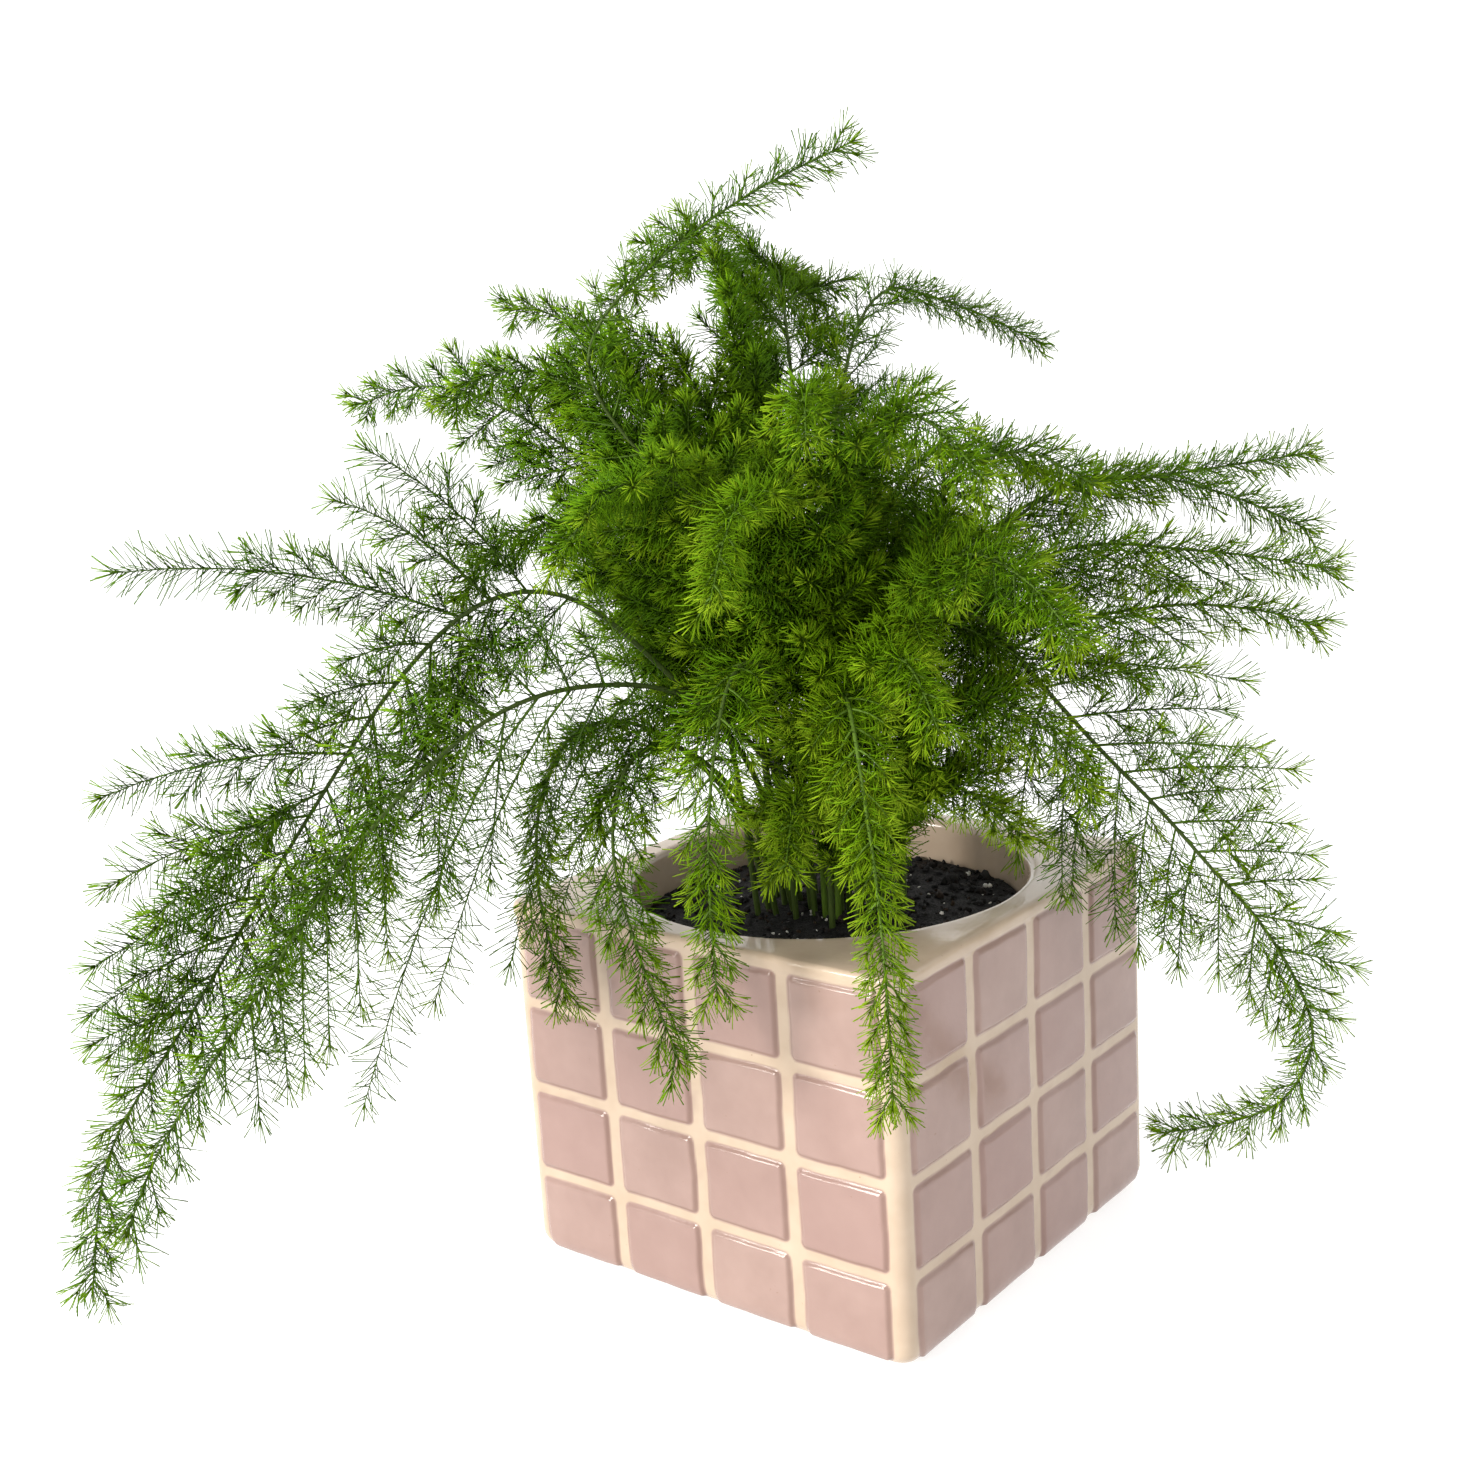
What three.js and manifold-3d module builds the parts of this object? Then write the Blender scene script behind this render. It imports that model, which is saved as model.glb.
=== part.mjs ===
// Potted lace fern (Asparagus setaceus): a square ceramic pot with a raised tile pattern, filled
// with potting mix, and the arching fronds that grow from the crown of the plant.
// Millimetres, +Z up. The origin is the centre of the pot's underside, and the pot's four sides
// face +X, -X, +Y and -Y.
import * as THREE from "three";
import { mergeVertices } from "three/addons/utils/BufferGeometryUtils.js";
import Module from "manifold-3d";

// Pot: half is the ceramic wall between the tiles, which stand tile.proud further out.
const pot = {
  height: 73,
  half: 44.4,
  corner: 3,
  footInset: 4,
  rimOut: 0.4,
  rimHeight: 2.6,
  opening: 38.5,
  cavityFloor: 9,
  cavityTaper: 1.5,
};
// Tiles: four columns by four rows on each side, named by the grout lines between them.
const tile = {
  pitchAcross: 21,
  pitchUp: 17.7,
  middleLine: 35.3,
  groutAcross: 2.5,
  groutUp: 2,
  edge: 41.2,
  foot: 2,
  top: 70.3,
  proud: 0.6,
  slope: 0.9,
  rootDepth: 3,
};
const seatGap = 0.3;
const soil = { level: 64.5, mound: 2.2, lump: 0.5, holeDepth: 11 };

// Stems, side branches and needles: radii, sides and the steps they are drawn in.
const stem = { root: 0.9, tip: 0.6, sides: 4, step: 15 };
const branch = { radius: 0.42, sides: 4, step: 18, angle: 60, shortest: 8, long: 40 };
const needle = { length: 6.4, radius: 0.19, angle: 58, spacing: 7.5 };
const clearance = 0.15;

// Fronds: each grows in an upright plane through the pot's axis. heading is the plane's compass
// angle from +X towards +Y, swing how far it turns by the tip, and arch lists the reach and the
// height over the soil's edge along the stem, from its root to its tip. bare is the part of the
// stem without branches, count their number, and roll the turn of the flat spray about its stem.
// spread is the longest branch, and sag how far branches hang, each given for the upper and the
// lower side.
// fade says where along the leafy part the branches end, and how evenly they shorten towards it.
// angle is the one between branch and stem, and trim makes single branches longer or shorter.
const fronds = [
  { name: "frond_left_long", heading: 245, bare: 0.34, count: 22, spread: [66, 33],
    fade: [0.74, 0.55], trim: { 3: 1.2, 5: 0.4, 7: 1.05, 9: 0.85 }, roll: 78,
    sag: [0.13, 0.35], arch: [[8, 0], [16, 32], [34, 55], [50, 69], [66, 70], [82, 59],
      [100, 38], [124, 7], [140, -14], [146, -38]] },
  { name: "frond_left_low", heading: 257, bare: 0.3, count: 20, spread: [30, 56],
    fade: [0.85, 0.9], trim: { 2: 0.9, 4: 1.2, 6: 0.5, 8: 0.5, 10: 0.8 }, roll: 72,
    sag: [0, 0.75],
    arch: [[5, 0], [9, 26], [30, 48], [54, 55], [76, 52], [100, 37], [122, 15],
      [138, -2], [146, -15]] },
  { name: "frond_left_high", heading: 200, bare: 0.25, count: 18, spread: [46, 46], roll: 70,
    sag: [0, 0.15], arch: [[6, 0], [13, 38], [30, 73], [54, 96], [76, 105], [94, 102]] },
  { name: "frond_left_back", heading: 182, bare: 0.28, count: 18, spread: [36, 44], roll: 50,
    sag: [0, 0.2], arch: [[9, 0], [14, 43], [26, 83], [45, 108], [60, 117], [73, 119]] },
  { name: "frond_top", heading: 222, bare: 0.45, count: 15, spread: [11, 12], roll: 70,
    sag: [0, 0], arch: [[3, 0], [8, 38], [24, 80], [38, 102], [38, 114], [26, 126],
      [8, 137], [-11, 145]] },
  { name: "frond_back_right", heading: 120, swing: -30, bare: 0.45, count: 15, spread: [9, 18],
    angle: 42, roll: 60, sag: [0, 0.05],
    arch: [[4, 0], [9, 48], [18, 86], [30, 109], [43, 118], [58, 116], [74, 111],
      [88, 104]] },
  { name: "frond_back_left", heading: 148, swing: 18, bare: 0.32, count: 18, spread: [30, 34],
    roll: 50, sag: [0, 0.2],
    arch: [[10, 0], [14, 50], [21, 94], [28, 119], [35, 129], [45, 129], [58, 122],
      [70, 113]] },
  { name: "frond_back", heading: 132, bare: 0.3, count: 17, spread: [40, 44], roll: 25,
    sag: [0.1, 0.2], arch: [[7, 0], [12, 48], [22, 90], [38, 118], [54, 124], [72, 114],
      [88, 96]] },
  { name: "frond_right_high", heading: 46, bare: 0.35, count: 15, spread: [9, 21], angle: 42,
    roll: 65, sag: [0, 0], arch: [[5, 0], [10, 33], [22, 59], [36, 74], [52, 80],
      [72, 81], [98, 83]] },
  { name: "frond_right_back", heading: 37, bare: 0.3, count: 15, spread: [11, 26], angle: 45,
    roll: 70, sag: [0, 0.1], arch: [[13, 0], [17, 36], [29, 65], [45, 80], [62, 82],
      [79, 77], [93, 70]] },
  { name: "frond_right_mid", heading: 28, bare: 0.25, count: 16, spread: [14, 46], angle: 45,
    roll: 70, sag: [0, 0], arch: [[9, 0], [14, 30], [24, 55], [46, 70], [72, 69],
      [95, 65]] },
  { name: "frond_right_long", heading: 13, bare: 0.28, count: 22, spread: [46, 38],
    fade: [0.76, 0.8], roll: 76, sag: [0, 0.3],
    arch: [[6, 0], [13, 38], [24, 59], [34, 58], [43, 48], [54, 36], [65, 25], [74, 15],
      [83, 5], [90, -7], [92, -17], [87, -28], [77, -34], [64, -38]] },
  { name: "frond_front_drop", heading: 313, bare: 0.2, count: 24, spread: [15, 15], roll: 15,
    sag: [0.3, 0.3], arch: [[10, 0], [13, 26], [24, 46], [40, 50], [55, 37], [65, 24],
      [70, 10], [72, -10]] },
  { name: "frond_front_left_drop", heading: 281, swing: 7, bare: 0.48, count: 12,
    spread: [14, 14], roll: 15, sag: [0.3, 0.3],
    arch: [[7.5, 0], [11, 28], [24, 53], [40, 56], [52, 45], [60, 28], [63, 6]] },
  { name: "frond_front_left_hang", heading: 240, swing: 43, bare: 0.42, count: 14,
    spread: [15, 15], roll: 20, sag: [0.3, 0.3], arch: [[11.5, 0], [17, 23], [32, 39],
      [48, 41], [60, 30], [65, 14], [67, -5]] },
  { name: "frond_left_hang", heading: 226, swing: 22, bare: 0.3, count: 16, spread: [14, 14],
    roll: 20, sag: [0.3, 0.3],
    arch: [[12, 0], [18, 24], [34, 41], [48, 43], [57, 32], [60, 15], [58, -4]] },
  { name: "frond_right_short", heading: 350, bare: 0.2, count: 15, spread: [26, 26], roll: 10,
    sag: [0, 0], arch: [[10, 0], [14, 18], [26, 30], [38, 30], [50, 24]] },
  { name: "frond_front_short", heading: 298, bare: 0.15, count: 14, spread: [24, 24], roll: 15,
    sag: [0.2, 0.2], arch: [[8.5, 0], [12, 18], [25, 31], [39, 32], [52, 25]] },
  { name: "frond_crown_front", heading: 326, bare: 0.12, count: 16, spread: [26, 26], roll: 20,
    sag: [0.25, 0.25], arch: [[14, 0], [16, 24], [22, 44], [32, 56], [45, 57], [57, 48]] },
  { name: "frond_crown_right", heading: 358, bare: 0.15, count: 16, spread: [28, 28], roll: 25,
    sag: [0.2, 0.3], arch: [[12, 0], [15, 22], [24, 40], [37, 47], [50, 42], [60, 32]] },
  { name: "frond_crown_left", heading: 236, bare: 0.28, count: 17, spread: [34, 34], roll: 40,
    sag: [0.15, 0.25], arch: [[15, 0], [19, 38], [29, 66], [42, 80], [56, 80],
      [67, 70]] },
  { name: "frond_crown_top", heading: 306, bare: 0.35, count: 16, spread: [32, 32], roll: 30,
    sag: [0.1, 0.2], arch: [[15, 0], [15, 43], [17, 80], [25, 99], [37, 103], [49, 96]] },
  { name: "frond_back_crown", heading: 190, bare: 0.4, count: 17, spread: [30, 30], roll: 45,
    sag: [0.1, 0.15],
    arch: [[12, 0], [14, 46], [17, 84], [23, 102], [34, 110], [46, 110], [56, 103]] },
  { name: "frond_left_crown", heading: 215, bare: 0.35, count: 17, spread: [32, 38], roll: 50,
    sag: [0.1, 0.2], arch: [[9, 0], [13, 43], [24, 83], [40, 103], [56, 108], [68, 102]] },
  { name: "frond_right_crown", heading: 60, swing: -20, bare: 0.35, count: 15,
    spread: [24, 26], roll: 15, sag: [0.1, 0.2],
    arch: [[9, 0], [9, 42], [12, 71], [20, 86], [32, 89], [44, 83]] },
  { name: "frond_right_shoulder", heading: 6, bare: 0.28, count: 17, spread: [30, 32],
    roll: 45, sag: [0.05, 0.2],
    arch: [[16, 0], [17, 38], [21, 68], [30, 85], [43, 90], [57, 84]] },
  { name: "frond_right_low", heading: 22, swing: 11, bare: 0.35, count: 14, spread: [12, 26],
    angle: 45, roll: 70, sag: [0, 0.1],
    arch: [[13, 0], [17, 26], [28, 46], [46, 56], [66, 59], [82, 57], [93, 53]] },
  { name: "frond_front", heading: 292, bare: 0.2, count: 19, spread: [38, 38], roll: 20,
    sag: [0.25, 0.2], arch: [[4.5, 0], [8, 38], [17, 68], [31, 84], [45, 87],
      [57, 82], [67, 73]] },
  { name: "frond_front_high", heading: 322, swing: 14, bare: 0.25, count: 18,
    spread: [40, 40], roll: 30, sag: [0.1, 0.2],
    arch: [[6.5, 0], [8.5, 43], [14, 76], [26, 95], [42, 98], [58, 88]] },
  { name: "frond_right_front", heading: 342, bare: 0.2, count: 18, spread: [36, 38], roll: 35,
    sag: [0.1, 0.3], arch: [[5.5, 0], [9, 36], [23, 62], [42, 74], [58, 72], [72, 62]] },
  { name: "frond_left_front", heading: 268, bare: 0.28, count: 18, spread: [40, 42], roll: 30,
    sag: [0.1, 0.2], arch: [[11, 0], [14, 38], [22, 72], [38, 89], [54, 89], [68, 79]] },
  { name: "frond_rear_left", heading: 160, bare: 0.25, count: 16, spread: [42, 44], roll: 20,
    sag: [0.3, 0.3], arch: [[5, 0], [14, 42], [30, 74], [52, 86], [76, 77], [95, 54]] },
  { name: "frond_rear", heading: 100, bare: 0.25, count: 16, spread: [42, 44], roll: 20,
    sag: [0.35, 0.35], arch: [[10, 0], [17, 34], [34, 62], [56, 70], [78, 58],
      [95, 34]] },
];

const wasm = await Module();
wasm.setup();

const UP = new THREE.Vector3(0, 0, 1);
const GOLDEN = 180 * (3 - Math.sqrt(5));
const radians = THREE.MathUtils.degToRad;

// The same seed always gives the same draws between 0 and 1.
function seeded(seed) {
  let state = seed >>> 0;
  return () => {
    state = (state + 0x6d2b79f5) >>> 0;
    let t = Math.imul(state ^ (state >>> 15), state | 1);
    t ^= t + Math.imul(t ^ (t >>> 7), t | 61);
    return ((t ^ (t >>> 14)) >>> 0) / 4294967296;
  };
}

// three.js geometry to a solid that can be joined and cut, and back.
function solidOf(geometry) {
  const bare = geometry.clone();
  bare.deleteAttribute("normal");
  bare.deleteAttribute("uv");
  const merged = mergeVertices(bare);
  return new wasm.Manifold(
    new wasm.Mesh({
      numProp: 3,
      vertProperties: new Float32Array(merged.attributes.position.array),
      triVerts: new Uint32Array(merged.index.array),
    }),
  );
}

function geometryOf(solid) {
  const { vertProperties, triVerts } = solid.getMesh();
  const geometry = new THREE.BufferGeometry();
  geometry.setAttribute("position", new THREE.BufferAttribute(vertProperties, 3));
  geometry.setIndex(new THREE.BufferAttribute(triVerts, 1));
  const faceted = geometry.toNonIndexed();
  faceted.computeVertexNormals();
  return faceted;
}

// Joins a list of solids two by two, so that no step joins a large one with many small ones.
function joined(solids) {
  let row = solids;
  while (row.length > 1) {
    const next = [];
    for (let i = 0; i < row.length; i += 2)
      next.push(i + 1 < row.length ? row[i].add(row[i + 1]) : row[i]);
    row = next;
  }
  return row[0];
}

// Pot

// A closed solid through rounded squares, one for each [half-width, height] level.
function squareLoft(levels, arcSteps) {
  const rings = levels.map(([half, height]) => {
    const centre = half - pot.corner;
    return [0, 1, 2, 3].flatMap((quarter) =>
      Array.from({ length: arcSteps + 1 }, (_, i) => {
        const turn = (quarter + i / arcSteps) * (Math.PI / 2);
        const [sx, sy] = [[1, 1], [-1, 1], [-1, -1], [1, -1]][quarter];
        return [
          sx * centre + pot.corner * Math.cos(turn),
          sy * centre + pot.corner * Math.sin(turn),
          height,
        ];
      }),
    );
  });
  const count = rings[0].length;
  const bottomCentre = rings.length * count;
  const index = [];
  for (let i = 0; i < count; i++) {
    const next = (i + 1) % count;
    for (let level = 0; level + 1 < rings.length; level++) {
      const [low, high] = [level * count, (level + 1) * count];
      index.push(low + i, low + next, high + next, low + i, high + next, high + i);
    }
    const top = (rings.length - 1) * count;
    index.push(bottomCentre, next, i, bottomCentre + 1, top + i, top + next);
  }
  const points = [...rings.flat(), [0, 0, levels[0][1]], [0, 0, levels.at(-1)[1]]];
  const geometry = new THREE.BufferGeometry();
  geometry.setAttribute("position", new THREE.Float32BufferAttribute(points.flat(), 3));
  geometry.setIndex(index);
  return geometry;
}

// A solid turned about Z from a profile of [radius, height] that starts and ends on the axis.
function turned(profile, segments) {
  const points = profile.map(([radius, height]) => new THREE.Vector2(radius, height));
  return new THREE.LatheGeometry(points, segments).rotateX(Math.PI / 2);
}

function potBody() {
  const { height, half, footInset, rimOut, rimHeight, opening, cavityFloor, cavityTaper } = pot;
  const footSteps = [0, 1, 2, 3].map((i) => (i / 3) * (Math.PI / 2));
  const outer = squareLoft(
    [
      ...footSteps.map((turn) => [
        half - footInset + footInset * Math.sin(turn),
        footInset - footInset * Math.cos(turn),
      ]),
      [half, height - rimHeight - 0.6],
      [half + rimOut, height - rimHeight + 0.4],
      [half + rimOut, height - 1],
      [half + rimOut - 1, height],
    ],
    3,
  );
  const cavity = turned(
    [
      [0, cavityFloor],
      [opening - cavityTaper - 3, cavityFloor],
      [opening - cavityTaper, cavityFloor + 3],
      [opening, height - 1.6],
      [opening + 1.4, height + 0.2],
      [0, height + 0.2],
    ],
    32,
  );
  return solidOf(outer).subtract(solidOf(cavity));
}

// One raised tile on the side that faces +X: a block whose front is smaller than its root.
function tileBlock(left, right, bottom, top) {
  const root = pot.half - tile.rootDepth;
  const front = pot.half + tile.proud;
  const depth = front - root;
  const geometry = new THREE.BoxGeometry(depth, right - left, top - bottom);
  geometry.translate((root + front) / 2, (left + right) / 2, (bottom + top) / 2);
  const place = geometry.getAttribute("position");
  const shrink = (value, low, high, by) => (value < (low + high) / 2 ? value + by : value - by);
  for (let i = 0; i < place.count; i++) {
    if (place.getX(i) < (root + front) / 2) continue;
    const lowest = bottom === tile.foot && place.getZ(i) < bottom + 1;
    place.setY(i, shrink(place.getY(i), left, right, tile.slope));
    place.setZ(i, shrink(place.getZ(i), bottom, top, lowest ? 3 * tile.slope : tile.slope));
  }
  return geometry;
}

function tileLines(lines, low, high, gap) {
  const edges = [low, ...lines.flatMap((line) => [line - gap / 2, line + gap / 2]), high];
  return lines.concat(0).map((_, i) => [edges[2 * i], edges[2 * i + 1]]);
}

function tiles() {
  const across = [-1, 0, 1].map((i) => i * tile.pitchAcross);
  const up = [-1, 0, 1].map((i) => tile.middleLine + i * tile.pitchUp);
  const columns = tileLines(across, -tile.edge, tile.edge, tile.groutAcross);
  const rows = tileLines(up, tile.foot, tile.top, tile.groutUp);
  const blocks = [];
  for (let side = 0; side < 4; side++)
    for (const [left, right] of columns)
      for (const [bottom, top] of rows)
        blocks.push(solidOf(tileBlock(left, right, bottom, top).rotateZ((side * Math.PI) / 2)));
  return blocks;
}

// Potting mix: a plug that fills the cavity, with a lumpy, slightly mounded top.
function soilPlug() {
  const draw = seeded(11);
  const wallAt = (height) =>
    pot.opening - pot.cavityTaper * (1 - (height - pot.cavityFloor) / (pot.height - 1.6 -
      pot.cavityFloor)) - seatGap - 0.1;
  const bottom = pot.cavityFloor + seatGap;
  const edge = wallAt(soil.level);
  const rings = [1, 0.78, 0.45];
  const profile = [
    [0, bottom],
    [wallAt(bottom) - 3.4, bottom],
    [wallAt(bottom + 3) - 0.2, bottom + 3],
    ...rings.map((part) => [edge * part, soil.level + soil.mound * (1 - part * part)]),
    [0, soil.level + soil.mound],
  ];
  const geometry = turned(profile, 24);
  geometry.deleteAttribute("normal");
  geometry.deleteAttribute("uv");
  const merged = mergeVertices(geometry);
  const place = merged.getAttribute("position");
  for (let i = 0; i < place.count; i++)
    if (place.getZ(i) > soil.level - 1)
      place.setZ(i, place.getZ(i) + (draw() - 0.5) * 2 * soil.lump);
  return solidOf(merged);
}

// Tubes and needles

// A closed tube through a row of centres, with a radius at each. A last radius of 0 is a point.
function tube(centres, radii, sides) {
  const last = centres.length - 1;
  const pointed = radii[last] === 0;
  const geometry = new THREE.CylinderGeometry(pointed ? 0 : 1, 1, 1, sides, last);
  const tangents = centres.map((_, i) =>
    centres[Math.min(i + 1, last)].clone().sub(centres[Math.max(i - 1, 0)]).normalize(),
  );
  const normals = [];
  let normal = sideOf(tangents[0]);
  for (const tangent of tangents) {
    normal = normal.clone().addScaledVector(tangent, -normal.dot(tangent)).normalize();
    normals.push(normal);
  }
  const place = geometry.getAttribute("position");
  for (let i = 0; i < place.count; i++) {
    const along = place.getY(i) + 0.5;
    const ring = Math.round(along * last);
    const across = normals[ring].clone().cross(tangents[ring]);
    const swell = pointed && ring < last ? radii[ring] / (1 - along) : radii[ring];
    const point = centres[ring]
      .clone()
      .addScaledVector(normals[ring], place.getX(i) * swell)
      .addScaledVector(across, place.getZ(i) * swell);
    place.setXYZ(i, point.x, point.y, point.z);
  }
  return geometry;
}

// The straight pieces between a row of centres, as one path.
function pathThrough(centres) {
  const path = new THREE.CurvePath();
  for (let i = 0; i + 1 < centres.length; i++)
    path.add(new THREE.LineCurve3(centres[i], centres[i + 1]));
  return path;
}

// A direction square to this one, level where it can be.
function sideOf(direction) {
  const side = direction.clone().cross(UP);
  return side.lengthSq() > 1e-4 ? side.normalize() : new THREE.Vector3(1, 0, 0);
}

function needleCone(root, direction, length) {
  const geometry = new THREE.ConeGeometry(needle.radius, length, 3, 1);
  geometry.translate(0, length / 2, 0);
  const turn = new THREE.Quaternion().setFromUnitVectors(new THREE.Vector3(0, 1, 0), direction);
  return geometry.applyQuaternion(turn).translate(root.x, root.y, root.z);
}

// Space that is taken: every stem, branch and needle is noted as a row of small balls.
class Space {
  constructor(cell) {
    this.cell = cell;
    this.balls = new Map();
  }
  key(x, y, z) {
    return `${x},${y},${z}`;
  }
  cellOf(point) {
    return [point.x, point.y, point.z].map((value) => Math.floor(value / this.cell));
  }
  take(balls, owner) {
    for (const ball of balls) {
      const key = this.key(...this.cellOf(ball.point));
      if (!this.balls.has(key)) this.balls.set(key, []);
      this.balls.get(key).push({ ...ball, owner });
    }
  }
  // True where no ball of another owner, and no wall of the pot, is in the way.
  free(balls, owner) {
    return balls.every((ball) => clearOfPot(ball) && !this.meets(ball, owner));
  }
  meets(ball, owner) {
    const [cx, cy, cz] = this.cellOf(ball.point);
    for (let x = cx - 1; x <= cx + 1; x++)
      for (let y = cy - 1; y <= cy + 1; y++)
        for (let z = cz - 1; z <= cz + 1; z++)
          for (const other of this.balls.get(this.key(x, y, z)) ?? [])
            if (
              other.owner !== owner &&
              other.point.distanceTo(ball.point) < other.radius + ball.radius + clearance
            )
              return true;
    return false;
  }
}

function ballsAlong(centres, radii, first = 0) {
  const balls = [];
  for (let i = first; i + 1 < centres.length; i++) {
    const count = Math.ceil(centres[i].distanceTo(centres[i + 1]) / 0.4);
    for (let j = 0; j <= count; j++)
      balls.push({
        point: centres[i].clone().lerp(centres[i + 1], j / count),
        radius: THREE.MathUtils.lerp(radii[i], radii[i + 1], j / count),
      });
  }
  return balls;
}

function clearOfPot({ point, radius }) {
  const reach = radius + seatGap;
  const outer = pot.half + tile.proud + reach;
  if (point.z > pot.height + reach) return true;
  if (Math.max(Math.abs(point.x), Math.abs(point.y)) > outer) return point.z > reach + 1;
  const inOpening = Math.hypot(point.x, point.y) < pot.opening - 1 - reach;
  return inOpening && point.z > soil.level + soil.mound + soil.lump + reach;
}

// The stem's curve, from the soil to its tip.
function stemCurve({ heading, swing = 0, arch }) {
  const points = arch.map(([reach, height], i) => {
    const turn = radians(heading + (swing * i) / (arch.length - 1));
    return new THREE.Vector3(reach * Math.cos(turn), reach * Math.sin(turn), soil.level + height);
  });
  return new THREE.CatmullRomCurve3(points, false, "catmullrom", 0.5);
}

// Every branch of a frond: where it leaves the stem, which way, and how long it is. Branches
// leave the stem on alternate sides, and grow shorter from the shoulder of the frond to its tip.
function branchesOf(frond, curve, core, seed) {
  const { bare, count, spread, sag, fade = [1, 1.1], trim = {}, angle = branch.angle } = frond;
  const draw = seeded(seed);
  return Array.from({ length: count }, (_, k) => {
    const along = (k + 0.5 + 0.4 * (draw() - 0.5)) / count;
    const at = bare + (1 - bare) * along;
    const shoulder = Math.min(1, 0.45 + along / 0.3);
    const left = Math.max(0, 1 - along / fade[0]);
    const part = shoulder * Math.pow(left, fade[1]) * (0.85 + 0.3 * draw());
    const upper = k % 2;
    return {
      root: core.getPointAt(at),
      tangent: curve.getTangentAt(at),
      side: upper ? 1 : -1,
      length: spread[1 - upper] * part * (trim[k] ?? 1),
      sag: sag[1 - upper],
      angle: angle + 14 * (draw() - 0.5) - 12 * along,
      roll: frond.roll + 44 * (draw() - 0.5),
    };
  });
}

// Points along a branch, which sweeps forward and sags towards its tip.
function branchPoints({ root, tangent, side, length, sag, angle, roll }) {
  const level = sideOf(tangent);
  const above = level.clone().cross(tangent);
  const axis = above
    .clone()
    .multiplyScalar(Math.cos(radians(roll)))
    .addScaledVector(level, Math.sin(radians(roll)));
  const direction = tangent.clone().applyAxisAngle(axis, radians(side * angle));
  // The last piece is as long as a needle and tapers to a point.
  const steps = Math.max(1, Math.round((length - needle.length) / branch.step));
  const core = 1 - needle.length / length;
  const parts = Array.from({ length: steps + 1 }, (_, i) => (core * i) / steps);
  return [...parts, 1].map((v) =>
    root
      .clone()
      .addScaledVector(direction, length * (v - 0.1 * v * v))
      .addScaledVector(tangent, length * 0.12 * v * v)
      .addScaledVector(UP, -length * sag * v * v),
  );
}

// Needles leave their core one by one, each turned by the golden angle from the last.
function needlesAlong(centres, firstTurn, start) {
  const core = pathThrough(centres);
  const length = core.getLength();
  const needles = [];
  for (let at = length - 0.5; at > start; at -= needle.spacing) needles.push(at);
  return needles.map((at, k) => ({
    root: core.getPointAt(at / length),
    tangent: core.getTangentAt(at / length),
    turn: firstTurn + k * GOLDEN,
  }));
}

function needleDirection({ tangent, turn }, extra) {
  const level = sideOf(tangent);
  const above = level.clone().cross(tangent);
  const angle = radians(turn + extra);
  return tangent
    .clone()
    .multiplyScalar(Math.cos(radians(needle.angle)))
    .addScaledVector(level, Math.sin(radians(needle.angle)) * Math.cos(angle))
    .addScaledVector(above, Math.sin(radians(needle.angle)) * Math.sin(angle));
}

// Fronds: all stems take their space first, then all branches, then all needles.
const space = new Space(3.2);
const plants = fronds.map((frond, index) => {
  const curve = stemCurve(frond);
  const steps = Math.max(5, Math.round(curve.getLength() / stem.step));
  const above = curve.getSpacedPoints(steps);
  const buried = above[0].clone().setZ(soil.level - soil.holeDepth + seatGap);
  const centres = [buried, ...above];
  const radii = centres.map((_, i) =>
    THREE.MathUtils.lerp(stem.root, stem.tip, Math.max(0, i - 1) / steps),
  );
  space.take(ballsAlong(centres, radii, 1), index);
  return { frond, index, curve, centres, radii, pieces: [], sprays: [] };
});

for (const plant of plants) {
  const { frond, index, curve } = plant;
  const core = pathThrough(plant.centres.slice(1));
  const all = branchesOf(frond, curve, core, 100 + index);
  // Every other pair of branches, and all the long ones: both sides of the stem stay filled.
  for (const [k, first] of all.entries()) {
    if (first.length < branch.shortest || (k % 4 > 1 && first.length < branch.long)) continue;
    const trials = [0, 18, -18, 36, -36].flatMap((roll) =>
      [1, 0.8, 0.6].map((part) => ({ ...first, roll: first.roll + roll,
        length: first.length * part })),
    );
    for (const trial of trials) {
      const centres = branchPoints(trial);
      const radii = centres.map((_, i) => (i + 1 < centres.length ? branch.radius : 0));
      const balls = ballsAlong(centres, radii);
      if (!space.free(balls, index)) continue;
      space.take(balls, index);
      plant.pieces.push(solidOf(tube(centres, radii, branch.sides)));
      plant.sprays.push({ centres: centres.slice(0, -1), turn: k * 77, start: 4 });
      break;
    }
  }
  const bareLength = curve.getLength() * (0.5 + frond.bare / 2);
  plant.sprays.push({ centres: plant.centres.slice(1), turn: 30, start: bareLength });
}

for (const plant of plants)
  for (const spray of plant.sprays)
    for (const one of needlesAlong(spray.centres, spray.turn, spray.start))
      for (const extra of [0, 50, -50]) {
        const direction = needleDirection(one, extra);
        const tip = one.root.clone().addScaledVector(direction, needle.length);
        const balls = ballsAlong([one.root, tip], [needle.radius, 0.05]);
        if (!space.free(balls, plant.index)) continue;
        space.take(balls, plant.index);
        plant.pieces.push(solidOf(needleCone(one.root, direction, needle.length)));
        break;
      }

// Holes in the potting mix, one round each stem.
const holes = plants.map(({ centres }) => {
  const depth = soil.holeDepth + 10;
  const radius = stem.root + 2 * seatGap;
  const hole = new THREE.CylinderGeometry(radius, radius, depth, 5).rotateX(Math.PI / 2);
  const bottom = soil.level - soil.holeDepth;
  return solidOf(hole.translate(centres[1].x, centres[1].y, bottom + depth / 2));
});

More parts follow.
